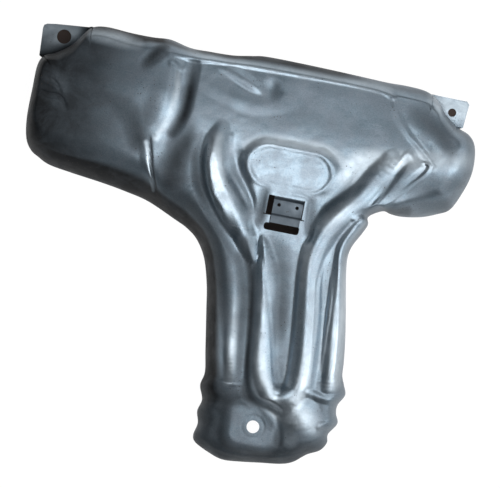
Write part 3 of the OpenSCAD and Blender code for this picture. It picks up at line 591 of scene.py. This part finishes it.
# Rings of the skin: each rim stretch has its cells, and runs to a stretch of the middle line
left_end_cells = 10
left_ear_cells = 8
far_arm_cells = 6
near_arm_cells = 16
dome_cells = 11
right_ear_cells = 5
right_end_cells = 10
stem_cells = 16
foot_cells = 12
foot_end_cells = 12
rim_steps = 12
rim_plan = [
    (left_end, left_end_cells), (left_ear_foot, left_ear_cells), (top_far_left, far_arm_cells),
    (top_left, near_arm_cells), (top_right, dome_cells), (right_ear_foot, right_ear_cells),
    (right_end, right_end_cells), (under_right, dome_cells), (stem_right, stem_cells),
    (foot_right, foot_cells), (foot_end, foot_end_cells), (foot_left, foot_cells),
    (stem_left, stem_cells), (under_left, near_arm_cells), (under_far_left, far_arm_cells),
]

# Flat ears: first cell of the rim, number of cells, bolt hole, and edge points from that hole
cells_before_right_ear = left_end_cells + left_ear_cells + far_arm_cells + near_arm_cells + dome_cells
ears = [
    (left_end_cells, left_ear_cells, (-ear_spacing / 2, 0), [
        [1.5 - left_ear_reach, -20.8], [0.8 - left_ear_reach, -8], [-left_ear_reach, 4.5],
        [0.7 - left_ear_reach, 7.4], [3.2 - left_ear_reach, 8.9], [-9, 10.2], [1, 11.2],
        [12, 12.2], [22.5, 13.2]]),
    (cells_before_right_ear, right_ear_cells, (ear_spacing / 2, 0), [
        [-19, 13], [-4, 12.9], [right_ear_reach - 2.5, 12.8], [right_ear_reach, 10.3],
        [right_ear_reach - 0.8, 0], [right_ear_reach - 1.7, -11.5]]),
]


def skin_rings(finer, rings, ear_rings, crowd, fine):
    """Points of the outer face on lines from the rim to the middle line.

    Each cell of the rim is parted into finer ones, and a higher crowd draws the rings to the rim.
    """
    curve = bent([row for part, _ in rim_plan for row in part], rim_steps, closed=True)
    loop = np.vstack([curve, curve[:1]])
    lengths = np.concatenate([[0], np.cumsum(np.hypot(*np.diff(loop[:, :2], axis=0).T))])
    rim, row = [], 0
    for part, count in rim_plan:
        s0, s1 = lengths[row * rim_steps], lengths[(row + len(part)) * rim_steps]
        s = s0 + (s1 - s0) * np.arange(count * finer) / (count * finer)
        rim.append(np.stack([np.interp(s, lengths, loop[:, c]) for c in range(3)], 1))
        row += len(part)
    rim = np.vstack(rim)

    def line(a, b, count):
        t = (np.arange(count * finer) / (count * finer))[:, None]
        return np.array(a) + (np.array(b) - np.array(a)) * t

    arm = np.vstack([
        line(spine_left, spine_mid_left, far_arm_cells), line(spine_mid_left, spine_cross, near_arm_cells)])
    wing = line(spine_cross, spine_right, dome_cells)
    leg = np.vstack([
        line(spine_cross, spine_foot, stem_cells), line(spine_foot, spine_end, foot_cells)])
    left_cells = left_end_cells + left_ear_cells
    right_cells = right_ear_cells + right_end_cells
    targets = np.vstack([
        np.repeat([spine_left], left_cells * finer, 0), arm, wing,
        np.repeat([spine_right], right_cells * finer, 0),
        np.vstack([wing[1:], [spine_right]])[::-1], leg,
        np.repeat([spine_end], foot_end_cells * finer, 0),
        np.vstack([leg[1:], [spine_end]])[::-1], np.vstack([arm[1:], [spine_cross]])[::-1],
    ])
    k = np.arange(rings + 1)
    share = np.tile((k / rings) ** crowd, (len(rim), 1))
    ear_share = np.zeros((len(rim), rings + 1))
    foot = rim[:, :2]
    edge = foot.copy()
    foot_z = np.zeros((len(rim), 1))
    for first, count, hole, corners in ears:
        at = np.arange(count * finer + 1)
        corners = np.array(corners) + hole
        for c in (0, 1):
            edge[first * finer + at, c] = np.interp(at / finer, np.arange(count + 1), corners[:, c])
        foot_z[first * finer + at] = sheet_t
        share[first * finer + at] = np.clip((k - ear_rings) / (rings - ear_rings), 0, 1) ** crowd
        ear_share[first * finer + at] = np.clip(1 - k / ear_rings, 0, 1)
    plan = mix(foot[:, None, :], targets[:, None, :], share[:, :, None])
    plan = plan + (edge - foot)[:, None, :] * ear_share[:, :, None]
    gap = share * np.hypot(*(targets - foot).T)[:, None]
    wall = np.sqrt(1 - (1 - np.clip(gap / rim[:, 2:3], 0, 1)) ** 2)
    face = face_height(plan[:, :, 0], plan[:, :, 1], fine)
    return np.dstack([plan, np.maximum(0, mix(foot_z, face, wall))])


outer_skin = skin_rings(finer=7, rings=63, ear_rings=10, crowd=1.4, fine=True)
inner_skin = skin_rings(finer=3, rings=28, ear_rings=5, crowd=1.5, fine=False)
inner_ends = np.round(inner_skin[:, -1, :2], 4).tolist()
along = np.roll(inner_skin, -1, 0) - np.roll(inner_skin, 1, 0)
inward = np.gradient(inner_skin, axis=1)
normal = np.cross(inward, along)
normal[:, -1] = normal[:, -2]
normal = normal / np.linalg.norm(normal, axis=2, keepdims=True)
inner_skin = inner_skin - sheet_t * normal
inner_skin[:, :, 2] = np.maximum(0, inner_skin[:, :, 2])


def skin_quads(skin, first, flip):
    """Faces between the rings of a skin, whose points are numbered from first."""
    n, rows = skin.shape[:2]
    i, k = np.meshgrid(np.arange(n), np.arange(rows - 1), indexing="ij")
    a = first + i * rows + k
    b = first + ((i + 1) % n) * rows + k
    quads = np.stack([a, a + 1, b + 1, b] if flip else [a, b, b + 1, a + 1], -1)
    return quads.reshape(-1, 4).tolist()


# The middle line of the inner skin closes on shared points, although its normals differ
ends_at = {}
for i, (x, y) in enumerate(inner_ends):
    ends_at.setdefault((x, y), []).append(i)
for rows in ends_at.values():
    inner_skin[rows, -1] = inner_skin[rows, -1].mean(0)

outer_n, outer_rows = outer_skin.shape[:2]
inner_n, inner_rows = inner_skin.shape[:2]
inner_first = outer_n * outer_rows
faces = skin_quads(outer_skin, 0, True) + skin_quads(inner_skin, inner_first, False)
i = j = 0
while i < outer_n or j < inner_n:
    a = (i % outer_n) * outer_rows
    b = inner_first + (j % inner_n) * inner_rows
    if j >= inner_n or (i < outer_n and (i + 1) * inner_n <= (j + 1) * outer_n):
        i += 1
        faces.append([a, (i % outer_n) * outer_rows, b])
    else:
        j += 1
        faces.append([a, inner_first + (j % inner_n) * inner_rows, b])

points = np.vstack([outer_skin.reshape(-1, 3), inner_skin.reshape(-1, 3)])

# The sheet is centred on its plan and fitted to the solid's own box
low, high = points.min(0), points.max(0)
middle = np.array([(low[0] + high[0]) / 2, (low[1] + high[1]) / 2, 0])
box_low, box_high = np.array(cad_box) / MM
points[:, :2] = middle[:2] + (points - middle)[:, :2] * ((box_high - box_low) / (high - low))[:2]
points[:, 2] = np.minimum(points[:, 2], box_high[2])
merge_gap = 0.00001
sliver = 0.000001
mesh = bpy.data.meshes.new("pressed_sheet")
mesh.from_pydata(((points - middle) * MM).tolist(), [], faces)
sheet = bpy.data.objects.new("pressed_sheet", mesh)
bpy.context.scene.collection.objects.link(sheet)
bpy.ops.object.select_all(action="DESELECT")
bpy.context.view_layer.objects.active = sheet
sheet.select_set(True)
bpy.ops.object.mode_set(mode="EDIT")
bpy.ops.mesh.select_all(action="SELECT")
bpy.ops.mesh.remove_doubles(threshold=merge_gap)
bpy.ops.mesh.dissolve_degenerate(threshold=sliver)
bpy.ops.mesh.normals_make_consistent(inside=False)
bpy.ops.object.mode_set(mode="OBJECT")


def cutter(name, outline, face_z):
    """A prism over a plan outline, from below a sheet's face to above it, for a punched opening."""
    n = len(outline)
    verts = [((x - middle[0]) * MM, (y - middle[1]) * MM, z * MM)
             for z in (face_z - punch_reach, face_z + punch_reach) for x, y in outline]
    sides = [[j, (j + 1) % n, n + (j + 1) % n, n + j] for j in range(n)]
    made = bpy.data.meshes.new(name)
    made.from_pydata(verts, [], [list(range(n))[::-1], [n + j for j in range(n)]] + sides)
    made.update()
    tool = bpy.data.objects.new(name, made)
    bpy.context.scene.collection.objects.link(tool)
    return tool


def arc(centre, r, start, turn, steps=6):
    """Points on an arc, its angles in degrees."""
    angles = [math.radians(start + turn * j / steps) for j in range(steps + 1)]
    return [(centre[0] + r * math.cos(t), centre[1] + r * math.sin(t)) for t in angles]


def circle(centre, r, sides=64):
    """Points round a full circle."""
    return arc(centre, r, 0, 360 - 360 / sides, sides - 1)


punch_reach = 4
half_w, half_slot = window_w / 2, slot_w / 2
bracket_x = half_w - bracket_w / 2 - side_gap
neck_left, neck_right = bracket_x - bracket_w / 2 - side_gap, half_slot - side_gap
y_slit, y_slot = -window_l, -window_l - neck_l
y_end = y_slot - slot_l
opening = [(-half_w, 0), (half_w, 0), (half_w, y_slit), (half_w + slit_reach, y_slit),
           (half_w + slit_reach, y_slit - slit_l), (neck_right, y_slit - slit_l),
           (neck_right, y_slot), (half_slot, y_slot)]
opening += arc((half_slot - slot_corner, y_end + slot_corner), slot_corner, 0, -90)
opening += arc((slot_corner - half_slot, y_end + slot_corner), slot_corner, -90, -90)
opening += arc((slot_corner - half_slot, y_slot - slot_corner), slot_corner, 180, -90)
opening += [(neck_left, y_slot), (neck_left, y_slit - slit_l), (-half_w - slit_reach, y_slit - slit_l),
            (-half_w - slit_reach, y_slit), (-half_w, y_slit)]
opening = [(x + window_at[0], y + window_at[1]) for x, y in opening][::-1]
tools = [
    cutter("opening_cut", opening, crown_h),
    cutter("left_cut", circle((-ear_spacing / 2, 0), left_hole_r), sheet_t),
    cutter("right_cut", circle((ear_spacing / 2, 0), right_hole_r), sheet_t),
    cutter("stem_cut", circle((stem_hole_x, -stem_reach), stem_hole_r), bolt_pad_z),
]
sheet_smooth_to = math.radians(50)
for tool in tools:
    cut = sheet.modifiers.new(tool.name, "BOOLEAN")
    cut.object = tool
    cut.solver = "MANIFOLD"
    bpy.context.view_layer.objects.active = sheet
    bpy.ops.object.modifier_apply(modifier=cut.name)
    bpy.data.objects.remove(tool)
bpy.ops.object.select_all(action="DESELECT")
sheet.select_set(True)
bpy.context.view_layer.objects.active = sheet
bpy.ops.object.shade_smooth_by_angle(angle=sheet_smooth_to)

# Dirt and painted shade lie thick on the left end and on the turned-down wall, less on the right and on the
# bolt pad. Each pair of places is where such an amount starts and where it is full.
left_dirt_and_shade = 0.9
left_dirt_and_shade_x = (-50, -162)
end_dirt_and_shade = 0.1
end_dirt_and_shade_x = (-158, -192)
lighter_band = 9
lighter_band_y = (-30, -5)
lighter_band_x = (-118, -98)
wall_dirt_and_shade_z = (crown_h + 1, crown_h - 14)
above_ears_z = (1, 3)
bolt_pad_dirt_and_shade = 0.6
bolt_pad_dirt_and_shade_gap = (-4, 10)
foot_lighter = 0.15
foot_lighter_y = (-285, -310)
right_dirt_and_shade = 0.4
right_side_x = (60, 110)
right_side_y = (-330, -300)
panel_lighter = 0.15
panel_lighter_x = (-60, 20)
panel_lighter_y = (-60, -20)
cleared_by_rub_and_highlight = 0.75
places = np.empty(len(sheet.data.vertices) * 3)
sheet.data.vertices.foreach_get("co", places)
at_x, at_y, at_z = (places.reshape(-1, 3) / MM + middle).T
# Darker to the left, on the walls and along the listed paths: partly dirt, partly painted shade
dirt = left_dirt_and_shade * ramp(*left_dirt_and_shade_x, at_x) + end_dirt_and_shade * ramp(*end_dirt_and_shade_x, at_x)
for path in dirt_and_shade_paths.values():
    dirt = np.maximum(dirt, path_height(at_x, at_y, path))
raised_z = at_z + lighter_band * ramp(*lighter_band_y, at_y) * ramp(*lighter_band_x, at_x)
on_wall = ramp(*wall_dirt_and_shade_z, raised_z) * ramp(*above_ears_z, at_z)
pad_gap = box_gap(at_x, at_y, bolt_pad_at, np.array(bolt_pad_size) / 2, bolt_pad_corner)
on_wall = on_wall * mix(bolt_pad_dirt_and_shade, 1, ramp(*bolt_pad_dirt_and_shade_gap, pad_gap))
on_wall = on_wall * (1 - foot_lighter * ramp(*foot_lighter_y, at_y))
on_right = ramp(*right_side_x, at_x) * ramp(*right_side_y, at_y)
on_panel = ramp(*panel_lighter_x, at_x) * ramp(*panel_lighter_y, at_y)
dirt = np.maximum(dirt, on_wall * mix(1, right_dirt_and_shade, np.maximum(on_right, panel_lighter * on_panel)))
# Crests lightened by rubbing and by painted highlights, which also take away some of the darkening
rub = np.clip(sum(path_height(at_x, at_y, path) for path in rub_and_highlight_paths.values()), 0, 1)
dirt = dirt * (1 - cleared_by_rub_and_highlight * rub)
for name, amount in (("dirt", dirt), ("rub", rub)):
    layer = sheet.data.attributes.new(name, "FLOAT", "POINT")
    layer.data.foreach_set("value", np.clip(amount, 0, 1).astype(np.float32))


def add_node(tree, kind, inputs=None, **settings):
    """A node with its settings, and with values or links for its inputs."""
    made = tree.nodes.new(kind)
    for key, value in settings.items():
        setattr(made, key, value)
    for socket, value in (inputs or {}).items():
        if isinstance(value, bpy.types.NodeSocket):
            tree.links.new(value, made.inputs[socket])
        else:
            made.inputs[socket].default_value = value
    return made


def noise(tree, place, scale, detail=3.0, rough=0.5, warp=0.0):
    """Cloudy pattern of a scale, detail, roughness and warp."""
    return add_node(tree, "ShaderNodeTexNoise", {
        "Vector": place, "Scale": scale, "Detail": detail, "Roughness": rough, "Distortion": warp,
    }).outputs["Fac"]


def remap(tree, value, low, high, to_low=0.0, to_high=1.0):
    """Smooth change of a value's span to another span."""
    return add_node(tree, "ShaderNodeMapRange", {
        "Value": value, "From Min": low, "From Max": high, "To Min": to_low, "To Max": to_high,
    }, interpolation_type="SMOOTHSTEP").outputs["Result"]


def reckon(tree, action, a, b):
    """Two values added, multiplied or compared."""
    return add_node(tree, "ShaderNodeMath", {0: a, 1: b}, operation=action).outputs[0]


def tint(tree, mask, below, above):
    """One colour laid over another through a mask."""
    return add_node(tree, "ShaderNodeMix", {0: mask, 6: below, 7: above}, data_type="RGBA").outputs[2]


# Wear that the sheet and the bracket share: cloudy mill finish, grain, specks and scratches
# A cloudy layer has its noise's scale, detail, roughness and warp, then the span that it keeps
cloudy_layers = {
    "Mottle": (16, 4, 0.6, 0.6, (0.32, 0.68)),
    "Cloud": (60, 5, 0.65, 0, (0.3, 0.7)),
    "Grain": (850, 3, 0.7, 0, (0.3, 0.7)),
}
speck_scale = 330
speck_span = (0.22, 0.06)
speck_patch_scale = 48
speck_patch_span = (0.54, 0.66)

# A run of scratches has its turn in radians, its stretch, and the noise above which it shows
scratch_runs = ((0.35, (14, 900, 60), 0.735), (-1.1, (10, 1100, 60), 0.745))
scratch_fade = 0.06
scratch_detail = 1.5
wear = bpy.data.node_groups.new("steel_wear", "ShaderNodeTree")
wear.interface.new_socket(name="Position", in_out="INPUT", socket_type="NodeSocketVector")
for name in ("Mottle", "Cloud", "Grain", "Specks", "Scratches"):
    wear.interface.new_socket(name=name, in_out="OUTPUT", socket_type="NodeSocketFloat")
spot = wear.nodes.new("NodeGroupInput").outputs["Position"]
result = wear.nodes.new("NodeGroupOutput")
for name, (scale, detail, rough, warp, span) in cloudy_layers.items():
    cloudy = remap(wear, noise(wear, spot, scale, detail, rough, warp), *span)
    wear.links.new(cloudy, result.inputs[name])
cell = add_node(wear, "ShaderNodeTexVoronoi", {"Vector": spot, "Scale": speck_scale}).outputs["Distance"]
patch = remap(wear, noise(wear, spot, speck_patch_scale), *speck_patch_span)
specks = reckon(wear, "MULTIPLY", remap(wear, cell, *speck_span), patch)
wear.links.new(specks, result.inputs["Specks"])
strokes = []
for turn, stretch, shows_from in scratch_runs:
    lie = add_node(wear, "ShaderNodeMapping", {
        "Vector": spot, "Rotation": (0, 0, turn), "Scale": stretch}).outputs["Vector"]
    stroke = noise(wear, lie, 1, scratch_detail)
    strokes.append(remap(wear, stroke, shows_from, shows_from + scratch_fade))
wear.links.new(reckon(wear, "MAXIMUM", *strokes), result.inputs["Scratches"])

# Colours of the sheet, its soot with painted shade and its rubbed crests with painted highlights, and how
# far each layer of wear shows
mill_dark = (0.172, 0.24, 0.296, 1)
mill_light = (0.23, 0.305, 0.368, 1)
rubbed_and_highlight_tint = (0.50, 0.57, 0.625, 1)
soot_and_shade_tint = (0.008, 0.0095, 0.0115, 1)
speck_tint = (0.045, 0.035, 0.03, 1)
wear_tints = {
    "Cloud": (0.35, (0.27, 0.29, 0.335, 1)),
    "Grain": (0.28, (0.48, 0.53, 0.57, 1)),
    "Scratches": (0.5, (0.6, 0.63, 0.66, 1)),
}
wear_heights = {"Grain": 0.02, "Specks": -0.05, "Scratches": -0.03}
soot_and_shade_noise = (45, 5, 0.65, 0.3)
soot_and_shade_span = (0.3, 0.7, 0.95, 1.05)
soot_and_shade_dulls = 0.95
soot_and_shade_metallic = 0.15
rub_and_highlight_noise = (110, 5, 0.7)
rub_and_highlight_span = (0.35, 0.6, 0.6, 1.0)
sheet_specular = 0.2
roughness_span = (0.36, 0.46)
soot_and_shade_roughness = 0.25
wave_noise = (38, 2)
pebble_noise = (420, 3, 0.55)
pebble_height = 0.07
wave_depth = 0.0009
steel = bpy.data.materials.new("weathered_aluminised_steel")
steel.use_nodes = True
tree = steel.node_tree
shader = tree.nodes["Principled BSDF"]
place = add_node(tree, "ShaderNodeTexCoord").outputs["Object"]
worn = add_node(tree, "ShaderNodeGroup", {}, node_tree=wear)
tree.links.new(place, worn.inputs["Position"])
worn = worn.outputs
dirt_and_shade_map = add_node(tree, "ShaderNodeAttribute", attribute_name="dirt").outputs["Fac"]
rub_and_highlight_map = add_node(tree, "ShaderNodeAttribute", attribute_name="rub").outputs["Fac"]
# Dark film of dirt and painted shade, and bright patches of rubbing and painted highlights
dirt_and_shade_film = reckon(tree, "MULTIPLY", dirt_and_shade_map, remap(tree, noise(tree, place, *soot_and_shade_noise), *soot_and_shade_span))
bright = reckon(tree, "MULTIPLY", rub_and_highlight_map, remap(tree, noise(tree, place, *rub_and_highlight_noise), *rub_and_highlight_span))
metal = tint(tree, worn["Mottle"], mill_dark, mill_light)
for name, (amount, colour) in wear_tints.items():
    metal = tint(tree, reckon(tree, "MULTIPLY", worn[name], amount), metal, colour)
for mask, colour in ((bright, rubbed_and_highlight_tint), (dirt_and_shade_film, soot_and_shade_tint), (worn["Specks"], speck_tint)):
    metal = tint(tree, mask, metal, colour)
tree.links.new(metal, shader.inputs["Base Color"])
dull = reckon(tree, "MAXIMUM", reckon(tree, "MULTIPLY", dirt_and_shade_film, soot_and_shade_dulls), worn["Specks"])
tree.links.new(remap(tree, dull, 0.0, 1.0, 1.0, soot_and_shade_metallic), shader.inputs["Metallic"])
shader.inputs["Specular IOR Level"].default_value = sheet_specular
gloss = reckon(tree, "ADD", remap(tree, worn["Cloud"], 0.0, 1.0, *roughness_span),
               reckon(tree, "MULTIPLY", dull, soot_and_shade_roughness))
tree.links.new(gloss, shader.inputs["Roughness"])
relief = reckon(tree, "ADD", noise(tree, place, *wave_noise),
                reckon(tree, "MULTIPLY", noise(tree, place, *pebble_noise), pebble_height))
for name, amount in wear_heights.items():
    relief = reckon(tree, "ADD", relief, reckon(tree, "MULTIPLY", worn[name], amount))
bump = add_node(tree, "ShaderNodeBump", {"Strength": 1.0, "Distance": wave_depth, "Height": relief})
tree.links.new(bump.outputs["Normal"], shader.inputs["Normal"])
sheet.data.materials.clear()
sheet.data.materials.append(steel)
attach(sheet, "root")
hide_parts("heat_shield")

# The bracket is a strip of bare steel, bent twice so that its plate lies below the window.
# Its flange is spot-welded under the window's top edge, and it has two small holes.
bracket_drop = 6
bracket_rise = 3
bracket_hole_r = 1.6
bracket_hole_gap = 16.5
hole_from_edge = 7.5
flange_l = 4
weld_gap = 0.1
root_bend = 0.8
leg_bend = 2.8
step_run = 1.6
tip_gap = 0.6
bend_r = 0.5
bend_cells = 2
bends_from = math.radians(20)
strip_smooth_to = math.radians(35)
edge_reach = 0.1
strip_dark = (0.10, 0.125, 0.15, 1)
strip_light = (0.15, 0.18, 0.21, 1)
strip_speck_tint = (0.05, 0.035, 0.025, 1)
strip_metallic = 0.8
strip_roughness_span = (0.45, 0.6)
z_flange = crown_h - sheet_t - weld_gap - sheet_t / 2
z_plate = crown_h - sheet_t / 2 - bracket_drop

# Middle of the strip's thickness, as y from the window's top edge and z, from flange to tip
bends = [
    (flange_l, z_flange), (-root_bend, z_flange), (-leg_bend, z_plate),
    (step_run / 2 - window_l, z_plate), (-window_l - step_run / 2, z_plate + bracket_rise),
    (tip_gap - window_l - neck_l, z_plate + bracket_rise),
]
strip_x = (window_at[0] + bracket_x - middle[0]) * MM
strip_y = (window_at[1] - middle[1]) * MM
bpy.ops.object.select_all(action="DESELECT")
bpy.ops.mesh.primitive_plane_add(size=1)
bracket = bpy.context.object
bracket.name = "window_bracket_plate"
bpy.ops.object.mode_set(mode="EDIT")
bpy.ops.mesh.select_all(action="SELECT")
flange_run = bends[0][0] - bends[1][0]
bpy.ops.transform.resize(value=(bracket_w * MM, flange_run * MM, 1))
bpy.ops.transform.translate(value=(
    strip_x, strip_y + (bends[0][0] + bends[1][0]) / 2 * MM, bends[0][1] * MM))
bpy.ops.mesh.select_all(action="DESELECT")
bpy.ops.mesh.select_mode(type="EDGE")
bpy.ops.object.mode_set(mode="OBJECT")
front = min(v.co.y for v in bracket.data.vertices)
for edge in bracket.data.edges:
    edge.select = all(bracket.data.vertices[v].co.y < front + edge_reach * MM for v in edge.vertices)
bpy.ops.object.mode_set(mode="EDIT")
for before, after in zip(bends[1:-1], bends[2:]):
    bpy.ops.mesh.extrude_region_move(TRANSFORM_OT_translate={
        "value": (0, (after[0] - before[0]) * MM, (after[1] - before[1]) * MM)})
bpy.ops.mesh.select_all(action="SELECT")
bpy.ops.mesh.normals_make_consistent(inside=False)
bpy.ops.object.mode_set(mode="OBJECT")
rounding = bracket.modifiers.new("bends", "BEVEL")
rounding.width = bend_r * MM
rounding.segments = bend_cells
rounding.limit_method = "ANGLE"
rounding.angle_limit = bends_from
bpy.ops.object.modifier_apply(modifier="bends")
thick = bracket.modifiers.new("thickness", "SOLIDIFY")
thick.thickness = sheet_t * MM
thick.offset = 0
thick.use_even_offset = True
bpy.ops.object.modifier_apply(modifier="thickness")
for side in (-1, 1):
    at = (window_at[0] + bracket_x + side * bracket_hole_gap / 2, window_at[1] - hole_from_edge)
    tool = cutter("bracket_hole", circle(at, bracket_hole_r, sides=32), z_plate)
    cut = bracket.modifiers.new("hole", "BOOLEAN")
    cut.object = tool
    cut.solver = "MANIFOLD"
    bpy.context.view_layer.objects.active = bracket
    bpy.ops.object.modifier_apply(modifier="hole")
    bpy.data.objects.remove(tool)
bpy.ops.object.select_all(action="DESELECT")
bracket.select_set(True)
bpy.context.view_layer.objects.active = bracket
bpy.ops.object.shade_smooth_by_angle(angle=strip_smooth_to)
bare = bpy.data.materials.new("dull_steel_strip")
bare.use_nodes = True
tree = bare.node_tree
shader = tree.nodes["Principled BSDF"]
place = add_node(tree, "ShaderNodeTexCoord").outputs["Object"]
worn = add_node(tree, "ShaderNodeGroup", {}, node_tree=wear)
tree.links.new(place, worn.inputs["Position"])
worn = worn.outputs
strip_tint = tint(tree, worn["Cloud"], strip_dark, strip_light)
strip_tint = tint(tree, worn["Specks"], strip_tint, strip_speck_tint)
tree.links.new(strip_tint, shader.inputs["Base Color"])
shader.inputs["Metallic"].default_value = strip_metallic
strip_roughness = remap(tree, worn["Mottle"], 0.0, 1.0, *strip_roughness_span)
tree.links.new(strip_roughness, shader.inputs["Roughness"])
bracket.data.materials.clear()
bracket.data.materials.append(bare)
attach(bracket, "root")
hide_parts("window_bracket")

# The floor is a large sheet of pale card that the shield lies on, matt and otherwise without a pattern.
# It shows as white to the camera and in the metal, and keeps the shadow of the shield. Beneath the
# shield and behind the ear holes it has painted shade: dark ovals in its colour, without the white.
floor_w = 6
card_tint = (0.9, 0.9, 0.9, 1)
painted_shade_tint = (0.05, 0.035, 0.03, 1)
painted_shade_edge = (0.85, 1.0)
card_roughness = 0.9
white_strength = 1.06
white_share = 0.93
for spare in ("Cube", "Light", "Camera"):
    if spare in bpy.data.objects:
        bpy.data.objects.remove(bpy.data.objects[spare])
bpy.ops.object.select_all(action="DESELECT")
bpy.ops.mesh.primitive_plane_add(size=floor_w, location=(0, 0, 0))
floor = bpy.context.object
floor.name = "floor"

# Ovals of painted shade: middle and half widths
painted_shade_spots = [
    ((5, -42), (170, 48)), ((52, -180), (48, 115)),
    ((-ear_spacing / 2, 0), (9, 9)), ((ear_spacing / 2, 0), (7, 7)),
]
card = bpy.data.materials.new("pale_card")
card.use_nodes = True
tree = card.node_tree
paint = tree.nodes["Principled BSDF"]
paint.inputs["Roughness"].default_value = card_roughness
place = add_node(tree, "ShaderNodeTexCoord").outputs["Object"]
free_of_painted_shade = 1.0
for (x, y), (half_x, half_y) in painted_shade_spots:
    spot = ((x - middle[0]) * MM, (y - middle[1]) * MM, 0)
    away = add_node(tree, "ShaderNodeVectorMath", {0: place, 1: spot}, operation="SUBTRACT").outputs[0]
    share = add_node(tree, "ShaderNodeVectorMath", {
        0: away, 1: (half_x * MM, half_y * MM, 1)}, operation="DIVIDE").outputs[0]
    length = add_node(tree, "ShaderNodeVectorMath", {0: share}, operation="LENGTH").outputs["Value"]
    free_of_painted_shade = reckon(tree, "MINIMUM", free_of_painted_shade, remap(tree, length, *painted_shade_edge))
tree.links.new(tint(tree, free_of_painted_shade, painted_shade_tint, card_tint), paint.inputs["Base Color"])
white = add_node(tree, "ShaderNodeEmission", {"Strength": white_strength}).outputs[0]
ray = add_node(tree, "ShaderNodeLightPath").outputs
seen = reckon(tree, "MAXIMUM", ray["Is Camera Ray"], ray["Is Glossy Ray"])
seen = reckon(tree, "MAXIMUM", seen, ray["Is Transmission Ray"])
seen = reckon(tree, "MULTIPLY", reckon(tree, "MULTIPLY", seen, white_share), free_of_painted_shade)
blend = add_node(tree, "ShaderNodeMixShader", {0: seen, 1: paint.outputs[0], 2: white}).outputs[0]
tree.links.new(blend, tree.nodes["Material Output"].inputs["Surface"])
floor.data.materials.append(card)

# The studio has five soft lamps in a dim room: one overhead, a large and a low one at the
# right, one beyond the arms and a weak one at the left.
room_tint = (0.85, 0.93, 1.0, 1)
room_strength = 0.06

# Each lamp: place, width and height, power in watts, and the point that it faces
lamps = {
    "overhead": ((0.05, 0.02, 0.85), (0.42, 0.42), 2.5, (0, 0, 0)),
    "right_side": ((1.1, -0.3, 1.15), (1.1, 1.3), 15, (0, 0, 0.02)),
    "far_side": ((0.3, 1.25, 1.15), (1.6, 0.7), 4.5, (0, 0, 0)),
    "left_side": ((-1.3, 0.3, 0.7), (0.8, 1.0), 1.2, (0, 0, 0)),
    "low_right": ((1.5, 0.1, 0.4), (1.2, 0.6), 5, (0, 0, 0.02)),
}
for name, (at, size, power, aim) in lamps.items():
    data = bpy.data.lights.new(name, "AREA")
    data.shape = "RECTANGLE"
    data.size, data.size_y = size
    data.energy = power
    lamp = bpy.data.objects.new(name, data)
    bpy.context.scene.collection.objects.link(lamp)
    lamp.location = at
    lamp.rotation_euler = (Vector(aim) - Vector(at)).to_track_quat("-Z", "Y").to_euler()
room = bpy.data.worlds.new("room")
bpy.context.scene.world = room
room.use_nodes = True
room.node_tree.nodes["Background"].inputs["Color"].default_value = room_tint
room.node_tree.nodes["Background"].inputs["Strength"].default_value = room_strength

# The camera looks straight down from far above, turned a little, as the photographer stood.
# Its frame is 453 mm wide at 20 mm above the floor, which is within the shield's depth.
photo_roll = math.radians(11.1)
view_w = 0.453
view_z = 0.02
view_far = 4.0
view_end = 20
film_w = 36
view_x = (22.4 - middle[0]) * MM
view_y = (-152.7 - middle[1]) * MM
camera_data = bpy.data.cameras.new("camera")
camera_data.sensor_width = film_w
camera_data.lens = film_w * view_far / view_w
camera_data.clip_end = view_end
camera = bpy.data.objects.new("camera", camera_data)
bpy.context.scene.collection.objects.link(camera)
camera.location = (view_x, view_y, view_z + view_far)
camera.rotation_euler = (0, 0, photo_roll)
bpy.context.scene.camera = camera
bpy.context.scene.view_settings.view_transform = "Standard"
